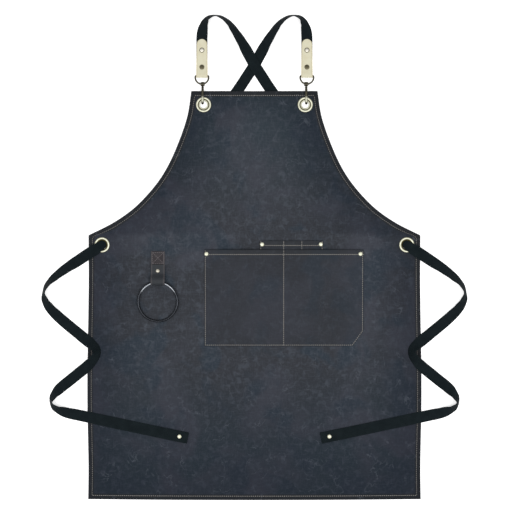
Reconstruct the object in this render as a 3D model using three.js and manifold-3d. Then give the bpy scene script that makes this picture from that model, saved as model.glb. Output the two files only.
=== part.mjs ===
// Cross-back work apron laid flat with its straps spread out, in millimetres.
// The front faces up (+Z), the bib points to +Y, and the floor is z = 0.
import * as THREE from "three";
import { mergeVertices } from "three/addons/utils/BufferGeometryUtils.js";
import Module from "manifold-3d";

const wasm = await Module();
wasm.setup();

// Cloth and webbing
const GAP = 0.3;
const CANVAS = 1.2;
const HEM = 11;
const HEM_RAMP = 1.5;
const WEBBING_WIDTH = 23;
const WEBBING = 1.6;

// Panel outline
const BIB_TOP = 341.6;
const WAIST = 43.6;
const SKIRT_HEM = -502.4;
const WAIST_HALF = 343;
const HEM_HALF = 344;
const HEM_SAG = 2;
const SAG_FROM = -410;
const SKIRT_SIDE = [
  { y: SKIRT_HEM, half: HEM_HALF },
  { y: -440, half: 343.3 },
  { y: -380, half: 344.2 },
  { y: -320, half: 345.5 },
  { y: -255, half: 345.7 },
  { y: -190, half: 344.9 },
  { y: -120, half: 343.6 },
  { y: -40, half: 342.6 },
  { y: WAIST, half: WAIST_HALF },
];
const ARMHOLE = [
  { y: WAIST, half: WAIST_HALF },
  { y: 67, half: 296 },
  { y: 92, half: 258.4 },
  { y: 116.6, half: 231.2 },
  { y: 153.8, half: 199.5 },
  { y: 191, half: 176.7 },
  { y: 240.8, half: 154.9 },
  { y: 290.5, half: 138.4 },
  { y: BIB_TOP, half: 130.4 },
];

// Height of the cloth's underside: it rests on the hem, and the straps and hooks raise the bib
const SKIRT_LIFT = CANVAS;
const BIB_LIFT = 2.2;
const LIFT_FROM = -150;
const LIFT_TO = -10;
const HOOK_LIFT = 1.5;
const HOOK_FLAT = 38;
const HOOK_REACH = 112;

// Grommets
const BIB_GROMMET = { x: 105, y: 313.3 };
const WAIST_GROMMET = { x: 315, y: 23.7 };
const GROMMET_OUTER = 16;
const GROMMET_HOLE = 9.5;
const GROMMET_BARREL = 10.5;
const GROMMET_BACK = 12.8;
const GROMMET_HIGH = 1.8;
const GROMMET_LOW = 0.9;

// Pockets
const POCKET = { left: -104, right: 226, bottom: -186, top: 13.6, divider: 60.4 };
const POCKET_CORNER = { wide: 23, high: 32 };
const POCKET_GAPE = 9;
const PEN_POCKET = { left: 10.6, right: 142.4, bottom: -45, top: 32.2 };
const PEN_DIVIDERS = [PEN_POCKET.left, POCKET.divider, 97.9, PEN_POCKET.right];
const PEN_GAPE = 2;
const POCKET_HEM = 10;

// Tabs, rings and hooks at the bib corners
const TAB = { x: 108.5, top: 448.9, wide: 23.4, thick: 2, low: 0.2 };
const TAB_RIVETS = [425.9, 390.9];
const D_BAR = { y: 373, z: 4.7 };
const D_HALF = 13.9;
const D_BOW = 356;
const D_WIRE = 1.75;
const HOOK = { x: 107, bottom: 313.4, top: 349.5, low: 0.2, high: 12.4, bar: 2.9, thick: 4.7 };
const HOOK_EYE = 3.4;
const HOOK_EYE_WIRE = 1.15;

// Towel loop and ring
const LOOP = { x: -199.5, top: 10.4, frontEnd: -17, wide: 28, thick: 1.6 };
const RING_TOP = -53.2;
const RING_RADIUS = 40.5;
const RING_WIRE = 2.4;
const LOOP_INSIDE = 5.3;
const LOOP_STRAIGHT = 4.5;
const LOOP_RIVET = -30;

// Route of the strap that starts in the left tab. rests is the height of what it lies on, roll stands it on
// an edge (positive lifts its left edge), wide is its width where it is gathered.
const STRAP = [
  { x: -108.5, y: 379, rests: 2.45, roll: 0 },
  { x: -108.5, y: 451, rests: 2.45, roll: 0 },
  { x: -108.1, y: 458, rests: 1.6, roll: -4 },
  { x: -106.8, y: 468.5, rests: 0.6, roll: -23 },
  { x: -103.5, y: 481, rests: 0.1, roll: -45 },
  { x: -96.5, y: 491.9, rests: 0.1, roll: -62 },
  { x: -80.5, y: 496.8, rests: 0.1, roll: -77 },
  { x: -65.2, y: 491.9, rests: 0.1, roll: -67 },
  { x: -51.6, y: 481, rests: 0.1, roll: -58 },
  { x: -42.3, y: 468.5, rests: 0.1, roll: -47 },
  { x: -26.3, y: 443.6, rests: 0.5, roll: -31 },
  { x: -13.2, y: 420, rests: 2.5, roll: 0 },
  { x: 0, y: 396, rests: 2.5, roll: 0 },
  { x: 11.6, y: 378, rests: 2.5, roll: 0 },
  { x: 30, y: 350, rests: 0.1, roll: 0 },
  { x: 72, y: 290, rests: 0.1, roll: 0 },
  { x: 117.5, y: 230.6, rests: 0.1, roll: 0 },
  { x: 163, y: 174, rests: 0.1, roll: 0 },
  { x: 209.4, y: 118, rests: 0.1, roll: 0 },
  { x: 258.6, y: 71.6, rests: 0.1, roll: 0 },
  { x: 289, y: 46.4, rests: 0.1, roll: 0 },
  { x: 303.6, y: 33, rests: 0.2, roll: 0, wide: 19 },
  { x: 309.4, y: 28.2, rests: 0.4, roll: 0, wide: 14.2 },
  { x: 321.4, y: 19.2, rests: 6.9, roll: 0, wide: 14.6 },
  { x: 328, y: 14.8, rests: 7.1, roll: 0 },
  { x: 340, y: 7.2, rests: 6.2, roll: 0 },
  { x: 352, y: -0.6, rests: 4.6, roll: 0 },
  { x: 367.4, y: -10.7, rests: 1.4, roll: -8 },
  { x: 388.2, y: -24.1, rests: 0.1, roll: -28 },
  { x: 410.2, y: -40.7, rests: 0.1, roll: -42 },
  { x: 427.2, y: -57.2, rests: 0.1, roll: -60 },
  { x: 434.6, y: -73.8, rests: 0.1, roll: -71 },
  { x: 432.5, y: -90.4, rests: 0.1, roll: -47 },
  { x: 422.6, y: -106.9, rests: 0.1, roll: -28 },
  { x: 406.8, y: -123.5, rests: 0.1, roll: -12 },
  { x: 388.2, y: -140, rests: 0.1, roll: 0 },
  { x: 367.8, y: -156.6, rests: 1.4, roll: 0 },
  { x: 354, y: -167.6, rests: 2.8, roll: 6 },
  { x: 345.7, y: -174.2, rests: 2.8, roll: 15 },
  { x: 330.2, y: -186.6, rests: 2.8, roll: 42 },
  { x: 324, y: -197, rests: 2.8, roll: 57 },
  { x: 330.2, y: -210.4, rests: 2.8, roll: 42 },
  { x: 346.7, y: -228, rests: 2.8, roll: 15 },
  { x: 358, y: -237.4, rests: 2.8, roll: 4 },
  { x: 381, y: -255.9, rests: 0.1, roll: 0 },
  { x: 401.6, y: -272.5, rests: 0.1, roll: -18 },
  { x: 415.5, y: -288, rests: 0.1, roll: -50 },
  { x: 419.6, y: -301.5, rests: 0.1, roll: -71 },
  { x: 410.9, y: -313.9, rests: 0.1, roll: -50 },
  { x: 388.1, y: -323.2, rests: 0.1, roll: -16 },
  { x: 368, y: -327.6, rests: 1.4, roll: 0 },
  { x: 350, y: -331.2, rests: 2.8, roll: 0 },
  { x: 241.2, y: -354.3, rests: 2.8, roll: 0 },
  { x: 165, y: -370.2, rests: 4.1, roll: 0 },
  { x: 137.7, y: -375.8, rests: 4.1, roll: 0 },
];
const UNDER_STRAP_DROP = 2.4;
const CROSSING_ROWS = [11, 13];
const TIE_RIVET = { x: 155, y: -372.2 };

// Rivets: radius and height of the cap, and of the post and the back
const RIVET = { cap: 4.3, high: 2, post: 1.4, back: 3, low: 0.8 };
const TAB_RIVET = { cap: 5.1, high: 1.9, post: 1.5, back: 0 };
const HOLE_CLEAR = 0.4;

const apron = new THREE.Group();
apron.name = "cross_back_apron";

const canvas = new THREE.MeshStandardMaterial({ name: "canvas", color: 0x3a4048, roughness: 0.9 });
const webbing = new THREE.MeshStandardMaterial({ name: "webbing", color: 0x1c2023, roughness: 0.85 });
const leather = new THREE.MeshStandardMaterial({ name: "leather", color: 0xe0d8c0, roughness: 0.6 });
const loopTape = new THREE.MeshStandardMaterial({ name: "loop_tape", color: 0x3b3336, roughness: 0.8 });
const brass = new THREE.MeshStandardMaterial({ name: "brass", color: 0xd8c79a, metalness: 1, roughness: 0.3 });
const bronze = new THREE.MeshStandardMaterial({ name: "bronze", color: 0x4a4238, metalness: 1, roughness: 0.4 });
const gunmetal = new THREE.MeshStandardMaterial({ name: "gunmetal", color: 0x303236, metalness: 1, roughness: 0.3 });

function add(name, geometry, material) {
  const mesh = new THREE.Mesh(geometry, material);
  mesh.name = name;
  apron.add(mesh);
}

// A closed solid of a geometry, for cutting and joining.
function solid(geometry) {
  const bare = geometry.clone();
  bare.deleteAttribute("normal");
  bare.deleteAttribute("uv");
  const merged = mergeVertices(bare, 1e-4);
  const vertProperties = new Float32Array(merged.attributes.position.array);
  const triVerts = new Uint32Array(merged.index.array);
  return new wasm.Manifold(new wasm.Mesh({ numProp: 3, vertProperties, triVerts }));
}

function geometryOf(shape) {
  const mesh = shape.getMesh();
  const geometry = new THREE.BufferGeometry();
  geometry.setAttribute("position", new THREE.BufferAttribute(new Float32Array(mesh.vertProperties), 3));
  geometry.setIndex(new THREE.BufferAttribute(new Uint32Array(mesh.triVerts), 1));
  geometry.computeVertexNormals();
  return geometry;
}

function mirrored(geometry) {
  const copy = mergeVertices(geometry.clone().deleteAttribute("normal").deleteAttribute("uv"), 1e-4);
  copy.scale(-1, 1, 1);
  const index = copy.index.array;
  for (let i = 0; i < index.length; i += 3) {
    [index[i], index[i + 1]] = [index[i + 1], index[i]];
  }
  copy.computeVertexNormals();
  return copy;
}

const clamp = (value) => Math.min(1, Math.max(0, value));
const smooth = (value) => clamp(value) ** 2 * (3 - 2 * clamp(value));
const blend = (a, b, share) => a + (b - a) * share;

// Value of a table's column at a place along it: curved runs smoothly through the rows, eased stays between them.
function rowBefore(table, key, at) {
  let row = 0;
  while (row < table.length - 2 && table[row + 1][key] <= at) {
    row += 1;
  }
  return row;
}

function eased(table, key, at, column) {
  const row = rowBefore(table, key, at);
  const [a, b] = [table[row], table[row + 1]];
  return blend(a[column], b[column], smooth((at - a[key]) / (b[key] - a[key])));
}

function curved(table, key, at, column) {
  const row = rowBefore(table, key, at);
  const slope = (i) => {
    const before = table[Math.max(0, i - 1)];
    const after = table[Math.min(table.length - 1, i + 1)];
    return (after[column] - before[column]) / (after[key] - before[key]);
  };
  const [a, b] = [table[row], table[row + 1]];
  const span = b[key] - a[key];
  const t = (at - a[key]) / span;
  const [t2, t3] = [t * t, t * t * t];
  return (2 * t3 - 3 * t2 + 1) * a[column] + (t3 - 2 * t2 + t) * span * slope(row)
    + (3 * t2 - 2 * t3) * b[column] + (t3 - t2) * span * slope(row + 1);
}

// A thin closed sheet: a box cut into columns and rows whose corners are moved to place(column, row, side).
function sheet(columns, rows, place) {
  const geometry = new THREE.BoxGeometry(1, 1, 1, columns, rows, 1);
  const position = geometry.attributes.position;
  for (let i = 0; i < position.count; i += 1) {
    const column = Math.round((position.getX(i) + 0.5) * columns);
    const row = Math.round((position.getY(i) + 0.5) * rows);
    const moved = place(column, row, Math.sign(position.getZ(i)));
    position.setXYZ(i, moved.x, moved.y, moved.z);
  }
  return geometry;
}

// A ring or pin turned about a vertical line, from a closed profile of [radius, height].
function turned(profile, x, y, segments) {
  const points = profile.map(([radius, height]) => new THREE.Vector2(radius, height));
  const geometry = new THREE.LatheGeometry(points, segments);
  geometry.rotateX(Math.PI / 2);
  geometry.translate(x, y, 0);
  return geometry;
}

function drill(radius, x, y, segments = 12) {
  const geometry = new THREE.CylinderGeometry(radius, radius, 80, segments);
  geometry.rotateX(Math.PI / 2);
  geometry.translate(x, y, 0);
  return solid(geometry);
}

function cut(geometry, drills) {
  return geometryOf(drills.reduce((shape, tool) => shape.subtract(tool), solid(geometry)));
}

// Underside and front of the panel's cloth at a point.
function lift(x, y) {
  const bib = BIB_LIFT * clamp((y - LIFT_FROM) / (LIFT_TO - LIFT_FROM));
  const away = Math.hypot(Math.abs(x) - HOOK.x, y - BIB_GROMMET.y - 10);
  const hook = HOOK_LIFT * (1 - smooth((away - HOOK_FLAT) / (HOOK_REACH - HOOK_FLAT)));
  return SKIRT_LIFT + bib + hook;
}

const front = (x, y) => lift(x, y) + CANVAS;

function panelHalf(y) {
  return curved(y <= WAIST ? SKIRT_SIDE : ARMHOLE, "y", y, "half");
}

// The skirt's hem is a little lower in its middle
function sag(x, y) {
  return HEM_SAG * (1 - (x / HEM_HALF) ** 2) * clamp((SAG_FROM - y) / (SAG_FROM - SKIRT_HEM));
}

// Panel
const HEM_STEPS = [0, HEM, HEM + HEM_RAMP];
const PANEL_COLUMNS = 12;
const skirtRows = [-440, -380, -320, -240, LIFT_FROM, -80, LIFT_TO];
const bibRows = [58, 67, 79, 92, 104, 116.6, 135, 153.8, 172, 191, 216, 240.8, 266, 290.5, 310];
const panelRows = [
  ...HEM_STEPS.map((step) => SKIRT_HEM + step),
  ...skirtRows,
  WAIST,
  ...bibRows,
  ...HEM_STEPS.map((step) => BIB_TOP - step).reverse(),
];
const lastColumn = PANEL_COLUMNS + 4;

function acrossPanel(column, y) {
  const half = panelHalf(y);
  const spread = y > WAIST ? Math.hypot(1, (panelHalf(y + 1) - panelHalf(y - 1)) / 2) : 1;
  const fromEdge = (step) => half - HEM_STEPS[step] * spread;
  if (column < 2) {
    return -fromEdge(column);
  }
  if (column > lastColumn - 2) {
    return fromEdge(lastColumn - column);
  }
  return blend(-fromEdge(2), fromEdge(2), (column - 2) / PANEL_COLUMNS);
}

const panel = sheet(lastColumn, panelRows.length - 1, (column, row, side) => {
  const y = panelRows[row];
  const x = acrossPanel(column, y);
  const inHem = column < 2 || column > lastColumn - 2 || row < 2 || row > panelRows.length - 3;
  const low = lift(x, y) - (inHem ? CANVAS : 0);
  return { x, y: y - sag(x, y), z: side > 0 ? front(x, y) : low };
});

// Main pocket, sewn down at its sides, foot and divider, with both mouths a little open
const pocketRows = [POCKET.bottom, -154, LIFT_FROM, -115, -80, -60, -44, -28, LIFT_TO,
  POCKET.top - POCKET_HEM - HEM_RAMP, POCKET.top - POCKET_HEM, POCKET.top];
const POCKET_COLUMNS = 16;

function pocketGape(x, y) {
  const left = x < POCKET.divider;
  const from = left ? POCKET.left : POCKET.divider;
  const to = left ? POCKET.divider : POCKET.right;
  const across = Math.sin(Math.PI * clamp((x - from) / (to - from))) ** 0.7;
  return POCKET_GAPE * across * clamp((y - POCKET.bottom) / (POCKET.top - POCKET.bottom)) ** 1.2;
}

function overPens(x, y) {
  const beside = Math.min(x - PEN_POCKET.left, PEN_POCKET.right - x);
  return (CANVAS + GAP) * smooth((beside + 16) / 12) * smooth((y - PEN_POCKET.bottom + 22) / 16);
}

const mainPocket = sheet(POCKET_COLUMNS, pocketRows.length - 1, (column, row, side) => {
  const y = pocketRows[row];
  const corner = clamp((POCKET.bottom + POCKET_CORNER.high - y) / POCKET_CORNER.high) * POCKET_CORNER.wide;
  const halfColumns = POCKET_COLUMNS / 2;
  const x = column <= halfColumns
    ? blend(POCKET.left, POCKET.divider, column / halfColumns)
    : blend(POCKET.divider, POCKET.right - corner, column / halfColumns - 1);
  const inHem = row > pocketRows.length - 3;
  const low = front(x, y) + GAP + overPens(x, y) + pocketGape(x, y);
  return { x, y, z: side > 0 ? low + CANVAS * (inHem ? 2 : 1) : low };
});

// Pen pocket behind it
const penRows = [PEN_POCKET.bottom, -28, LIFT_TO, 5, PEN_POCKET.top - POCKET_HEM - HEM_RAMP,
  PEN_POCKET.top - POCKET_HEM, PEN_POCKET.top];
const SLOT_COLUMNS = 4;

const penPocket = sheet(SLOT_COLUMNS * 3, penRows.length - 1, (column, row, side) => {
  const y = penRows[row];
  const slot = Math.min(2, Math.floor(column / SLOT_COLUMNS));
  const share = column / SLOT_COLUMNS - slot;
  const x = blend(PEN_DIVIDERS[slot], PEN_DIVIDERS[slot + 1], share);
  const up = clamp((y - PEN_POCKET.bottom) / (PEN_POCKET.top - PEN_POCKET.bottom));
  const low = front(x, y) + GAP + PEN_GAPE * Math.sin(Math.PI * share) * up;
  const inHem = row > penRows.length - 3;
  return { x, y, z: side > 0 ? low + CANVAS * (inHem ? 1.7 : 1) : low };
});

// Rivets through the pockets
const pocketRivets = [
  { name: "pocket_rivet_left", x: -99, y: 5 },
  { name: "pocket_rivet_right", x: 219, y: 5 },
];
const penRivets = [
  { name: "pen_pocket_rivet_left", x: 15.8, y: 24.6 },
  { name: "pen_pocket_rivet_right", x: 137, y: 24.8 },
];

function rivet(size, x, y, low, high) {
  const top = high + GAP;
  const bottom = low - GAP;
  const foot = [[0, bottom - size.low], [size.back, bottom - size.low], [size.back, bottom]];
  return turned([
    ...(size.back ? foot : [[0, bottom]]),
    [size.post, bottom],
    [size.post, top],
    [size.cap, top],
    [size.cap * 0.93, top + size.high * 0.5],
    [size.cap * 0.6, top + size.high * 0.9],
    [0, top + size.high],
  ], x, y, 10);
}

for (const { name, x, y } of pocketRivets) {
  const cloth = front(x, y) + GAP + pocketGape(x + Math.sign(60 - x) * 4, y);
  add(name, rivet(RIVET, x, y, lift(x, y), cloth + CANVAS * 2), brass);
}
for (const { name, x, y } of penRivets) {
  add(name, rivet(RIVET, x, y, lift(x, y), front(x, y) + GAP + PEN_GAPE * 0.45 + CANVAS * 1.7), brass);
}

const rivetDrill = ({ x, y }) => drill(RIVET.post + HOLE_CLEAR, x, y);
const grommetSpots = [
  { name: "grommet_bib_left", x: -BIB_GROMMET.x, y: BIB_GROMMET.y },
  { name: "grommet_bib_right", x: BIB_GROMMET.x, y: BIB_GROMMET.y },
  { name: "grommet_waist_left", x: -WAIST_GROMMET.x, y: WAIST_GROMMET.y },
  { name: "grommet_waist_right", x: WAIST_GROMMET.x, y: WAIST_GROMMET.y },
];
const grommetDrills = grommetSpots.map(({ x, y }) => drill(GROMMET_BARREL + HOLE_CLEAR, x, y, 16));
add("apron_panel", cut(panel, [...grommetDrills, ...[...pocketRivets, ...penRivets].map(rivetDrill)]), canvas);
add("main_pocket", cut(mainPocket, pocketRivets.map(rivetDrill)), canvas);
add("pen_pocket", cut(penPocket, penRivets.map(rivetDrill)), canvas);

// Grommets
for (const { name, x, y } of grommetSpots) {
  const top = front(x, y) + GAP;
  const bottom = lift(x, y) - GAP;
  add(name, turned([
    [GROMMET_HOLE, bottom - GROMMET_LOW * 0.5],
    [GROMMET_HOLE + 0.6, bottom - GROMMET_LOW],
    [GROMMET_BACK - 0.5, bottom - GROMMET_LOW],
    [GROMMET_BACK, bottom],
    [GROMMET_BARREL, bottom],
    [GROMMET_BARREL, top],
    [GROMMET_OUTER, top],
    [GROMMET_OUTER - 0.7, top + GROMMET_HIGH * 0.7],
    [GROMMET_OUTER - 2.6, top + GROMMET_HIGH],
    [GROMMET_HOLE + 1.2, top + GROMMET_HIGH],
    [GROMMET_HOLE, top + GROMMET_HIGH * 0.6],
    [GROMMET_HOLE, bottom - GROMMET_LOW * 0.5],
  ], x, y, 16), brass);
}

// Straps: a ribbon that rolls onto its edge at the bends
function strap(drop) {
  const rows = STRAP.map((row, i) => ({
    ...row,
    wide: row.wide ?? WEBBING_WIDTH,
    rests: row.rests - (i >= CROSSING_ROWS[0] && i <= CROSSING_ROWS[1] ? drop : 0),
  }));
  rows.reduce((reach, row, i) => {
    const before = rows[Math.max(0, i - 1)];
    row.reach = reach + Math.hypot(row.x - before.x, row.y - before.y);
    return row.reach;
  }, 0);
  const stations = rows.flatMap((row, i) => {
    const next = rows[i + 1];
    if (!next) {
      return [row.reach];
    }
    const pieces = Math.ceil((next.reach - row.reach) / 40) + (row.roll === next.roll ? 0 : 1);
    return Array.from({ length: pieces }, (_, k) => blend(row.reach, next.reach, k / pieces));
  });
  const centre = (reach) => {
    const roll = THREE.MathUtils.degToRad(eased(rows, "reach", reach, "roll"));
    const wide = eased(rows, "reach", reach, "wide");
    const stand = Math.abs(Math.sin(roll)) * wide / 2 + Math.cos(roll) * WEBBING / 2;
    const z = eased(rows, "reach", reach, "rests") + stand;
    return { at: new THREE.Vector3(curved(rows, "reach", reach, "x"), curved(rows, "reach", reach, "y"), z), roll, wide };
  };
  const up = new THREE.Vector3(0, 0, 1);
  const frames = stations.map((reach) => {
    const { at, roll, wide } = centre(reach);
    const heading = centre(Math.min(reach + 1, stations.at(-1))).at.sub(centre(Math.max(reach - 1, 0)).at);
    const left = up.clone().cross(heading).normalize();
    const across = left.clone().multiplyScalar(Math.cos(roll)).addScaledVector(up, Math.sin(roll));
    const face = up.clone().multiplyScalar(Math.cos(roll)).addScaledVector(left, -Math.sin(roll));
    return { at, across: across.multiplyScalar(wide / 2), face: face.multiplyScalar(WEBBING / 2) };
  });
  return sheet(1, frames.length - 1, (column, row, side) => {
    const { at, across, face } = frames[row];
    return at.clone().addScaledVector(across, column ? -1 : 1).addScaledVector(face, side);
  });
}

const tabDrills = (sign) => TAB_RIVETS.map((y) => drill(TAB_RIVET.post + HOLE_CLEAR, sign * TAB.x, y, 8));
const tieDrill = drill(RIVET.post + HOLE_CLEAR, TIE_RIVET.x, TIE_RIVET.y, 8);
add("strap_left", cut(strap(0), [...tabDrills(-1), tieDrill]), webbing);
add("strap_right", mirrored(cut(strap(UNDER_STRAP_DROP), [...tabDrills(-1), tieDrill])), webbing);

const tieLow = STRAP.at(-1).rests;
const tieRivet = rivet(RIVET, TIE_RIVET.x, TIE_RIVET.y, tieLow, tieLow + WEBBING);
add("tie_rivet_right", tieRivet, brass);
add("tie_rivet_left", mirrored(tieRivet), brass);

// Outline of a strip of leather bent along a path of [y, z], as a closed shape
function stripShape(path, thick) {
  const side = (offset) => path.map(([y, z], i) => {
    const [fromY, fromZ] = path[Math.max(0, i - 1)];
    const [toY, toZ] = path[Math.min(path.length - 1, i + 1)];
    const length = Math.hypot(toY - fromY, toZ - fromZ);
    return new THREE.Vector2(y - offset * (toZ - fromZ) / length, z + offset * (toY - fromY) / length);
  });
  return new THREE.Shape([...side(thick / 2), ...side(-thick / 2).reverse()]);
}

// A shape drawn in y and z, given a width along x about a middle.
function acrossX(shape, wide, x, bevel = 0) {
  const geometry = new THREE.ExtrudeGeometry(shape, {
    depth: wide - 2 * bevel,
    bevelEnabled: bevel > 0,
    bevelSize: bevel,
    bevelOffset: -bevel,
    bevelThickness: bevel,
    bevelSegments: 1,
    curveSegments: 5,
  });
  geometry.applyMatrix4(new THREE.Matrix4().set(0, 0, 1, x - wide / 2 + bevel, 1, 0, 0, 0, 0, 1, 0, 0, 0, 0, 0, 1));
  return geometry;
}

// A fold round a rod: points from the back of the rod, under the far side, to its front.
function fold(y, z, radius, steps) {
  return Array.from({ length: steps + 1 }, (_, i) => {
    const angle = -Math.PI / 2 - Math.PI * i / steps;
    return [y + radius * Math.cos(angle), z + radius * Math.sin(angle)];
  });
}

// Leather tabs: one strip folded round the bar of the D-ring, its ends rounded off together
const tabBack = TAB.low + TAB.thick / 2;
const tabFront = tabBack + TAB.thick + WEBBING + 2 * GAP;
const foldRadius = D_WIRE + GAP + TAB.thick / 2;
const tabPath = [
  [TAB.top, tabBack],
  [D_BAR.y + 12, tabBack],
  ...fold(D_BAR.y, D_BAR.z, foldRadius, 8),
  [D_BAR.y + 12, tabFront],
  [TAB.top, tabFront],
];
const tabOutline = new THREE.Shape();
tabOutline.moveTo(-TAB.wide / 2, D_BAR.y - 20);
tabOutline.lineTo(TAB.wide / 2, D_BAR.y - 20);
tabOutline.lineTo(TAB.wide / 2 - 0.6, TAB.top - TAB.wide / 2);
tabOutline.absarc(0, TAB.top - TAB.wide / 2, TAB.wide / 2 - 0.6, 0, Math.PI, false);
tabOutline.closePath();
const tabPlan = new THREE.ExtrudeGeometry(tabOutline, { depth: 40, bevelEnabled: false, curveSegments: 7 });
tabPlan.translate(-TAB.x, 0, -10);
const tabStrip = solid(acrossX(stripShape(tabPath, TAB.thick), TAB.wide + 2, -TAB.x));
const tab = cut(geometryOf(tabStrip.intersect(solid(tabPlan))), tabDrills(-1));
add("tab_left", tab, leather);
add("tab_right", mirrored(tab), leather);

TAB_RIVETS.forEach((y, i) => {
  const tabRivet = rivet(TAB_RIVET, -TAB.x, y, TAB.low + GAP + 0.2, tabFront + TAB.thick / 2);
  const place = ["upper", "lower"][i];
  add(`tab_rivet_${place}_left`, tabRivet, brass);
  add(`tab_rivet_${place}_right`, mirrored(tabRivet), brass);
});

// D-rings: a straight bar and a half-oval bow
class DCurve extends THREE.Curve {
  getPoint(t, target = new THREE.Vector3()) {
    const bar = 0.38;
    if (t < bar) {
      return target.set(blend(-D_HALF, D_HALF, t / bar), D_BAR.y, D_BAR.z);
    }
    const angle = Math.PI * (t - bar) / (1 - bar);
    return target.set(D_HALF * Math.cos(angle), D_BAR.y + (D_BOW - D_BAR.y) * Math.sin(angle) ** 0.8, D_BAR.z);
  }
}
const dRing = new THREE.TubeGeometry(new DCurve(), 26, D_WIRE, 7, true);
dRing.translate(-TAB.x, 0, 0);
add("d_ring_left", dRing, bronze);
add("d_ring_right", mirrored(dRing), bronze);

// Snap hooks: a closed oval seen edge on, its stem and the eye on the D-ring's bow
function oval(inset) {
  const [from, to] = [HOOK.bottom + inset, HOOK.top - inset];
  const [low, high] = [HOOK.low + inset, HOOK.high - inset];
  const radius = (high - low) / 2;
  const path = new THREE.Shape();
  path.moveTo(from + radius, low);
  path.lineTo(to - radius, low);
  path.absarc(to - radius, low + radius, radius, -Math.PI / 2, Math.PI / 2, false);
  path.lineTo(from + radius, high);
  path.absarc(from + radius, low + radius, radius, Math.PI / 2, Math.PI * 1.5, false);
  return path;
}
const hookOutline = oval(0);
hookOutline.holes.push(oval(HOOK.bar));
const hookBody = acrossX(hookOutline, HOOK.thick, -HOOK.x, 0.5);
const stem = new THREE.CylinderGeometry(1.9, 1.9, 4, 8);
stem.translate(-HOOK.x, HOOK.top + 1.2, D_BAR.z);
const eye = new THREE.TorusGeometry(HOOK_EYE, HOOK_EYE_WIRE, 6, 14);
eye.rotateY(Math.PI / 2);
eye.translate(-HOOK.x, D_BOW, D_BAR.z);
const hook = geometryOf(solid(hookBody).add(solid(stem)).add(solid(eye)));
add("snap_hook_left", hook, bronze);
add("snap_hook_right", mirrored(hook), bronze);

// Towel loop: sewn flat at the top, folded round the ring and riveted to itself
const loopFloor = front(LOOP.x, LOOP_RIVET) + GAP + LOOP.thick / 2;
const loopRise = RIVET.low + 2 * GAP;
const ringAxis = loopFloor + loopRise + LOOP_INSIDE;
const loopBack = loopFloor + loopRise;
const loopFront = loopBack + LOOP.thick + GAP;
const loopRadius = LOOP_INSIDE + LOOP.thick / 2;
const loopSewn = LOOP.frontEnd + 1;
const loopPath = [
  [LOOP.top, front(LOOP.x, LOOP.top) + GAP + LOOP.thick / 2],
  [loopSewn, front(LOOP.x, loopSewn) + GAP + LOOP.thick / 2],
  [LOOP_RIVET + 6, loopBack],
  [LOOP_RIVET - 8, loopBack],
  [RING_TOP + LOOP_STRAIGHT, ringAxis - loopRadius],
  ...fold(RING_TOP, ringAxis, loopRadius, 10),
  [RING_TOP + LOOP_STRAIGHT, ringAxis + loopRadius],
  [LOOP_RIVET - 8, loopFront],
  [LOOP.frontEnd, loopFront],
];

const loopRivetSpot = { x: LOOP.x, y: LOOP_RIVET };
add("towel_loop", cut(acrossX(stripShape(loopPath, LOOP.thick), LOOP.wide, LOOP.x), [rivetDrill(loopRivetSpot)]), loopTape);
add("towel_loop_rivet",
  rivet(RIVET, LOOP.x, LOOP_RIVET, loopBack - LOOP.thick / 2, loopFront + LOOP.thick / 2), brass);

// Towel ring, leaning from the loop onto the cloth
const ringFarEnd = RING_TOP - 2 * RING_RADIUS;
const ringLow = front(LOOP.x, ringFarEnd) + GAP + RING_WIRE;
const ring = new THREE.TorusGeometry(RING_RADIUS, RING_WIRE, 8, 36);
ring.translate(0, -RING_RADIUS, 0);
ring.rotateX(Math.asin((ringAxis - ringLow) / (2 * RING_RADIUS)));
ring.translate(LOOP.x, RING_TOP, ringAxis);
add("towel_ring", ring, gunmetal);

export default apron;
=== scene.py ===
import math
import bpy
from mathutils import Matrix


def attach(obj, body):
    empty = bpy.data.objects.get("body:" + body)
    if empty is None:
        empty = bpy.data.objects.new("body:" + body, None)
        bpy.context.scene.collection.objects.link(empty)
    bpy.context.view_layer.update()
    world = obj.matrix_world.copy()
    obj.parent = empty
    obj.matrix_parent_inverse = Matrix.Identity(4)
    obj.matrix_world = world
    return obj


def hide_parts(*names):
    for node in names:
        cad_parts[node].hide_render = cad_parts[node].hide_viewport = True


bl_info = {
    "name": "Cross-back apron",
    "version": (1, 0, 0),
    "blender": (4, 5, 0),
    "location": "View3D > Sidebar > Apron",
    "description": "Dresses a packed cross-back apron in waxed canvas, webbing, leather and metal",
    "category": "Object",
}

from bisect import bisect_right
from collections import namedtuple

import bmesh
import bpy
from bpy.props import FloatProperty, FloatVectorProperty, PointerProperty
from mathutils import Matrix, Vector

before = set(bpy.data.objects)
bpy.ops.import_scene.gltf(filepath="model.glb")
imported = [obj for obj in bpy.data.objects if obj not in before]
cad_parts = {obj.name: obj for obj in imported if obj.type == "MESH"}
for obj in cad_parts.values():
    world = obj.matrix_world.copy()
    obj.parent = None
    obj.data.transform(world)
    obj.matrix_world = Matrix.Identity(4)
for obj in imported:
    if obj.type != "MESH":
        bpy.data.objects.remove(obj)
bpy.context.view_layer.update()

# Sizes are in millimetres, as in the part's source, and each finished mesh is scaled to metres.
MM = 0.001
GAP = 0.3
CANVAS = 1.2
CANVAS_LEAST = 0.3
WEBBING_WIDTH = 23.0
WEBBING = 1.6
SIDES = (("left", -1), ("right", 1))

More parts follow.
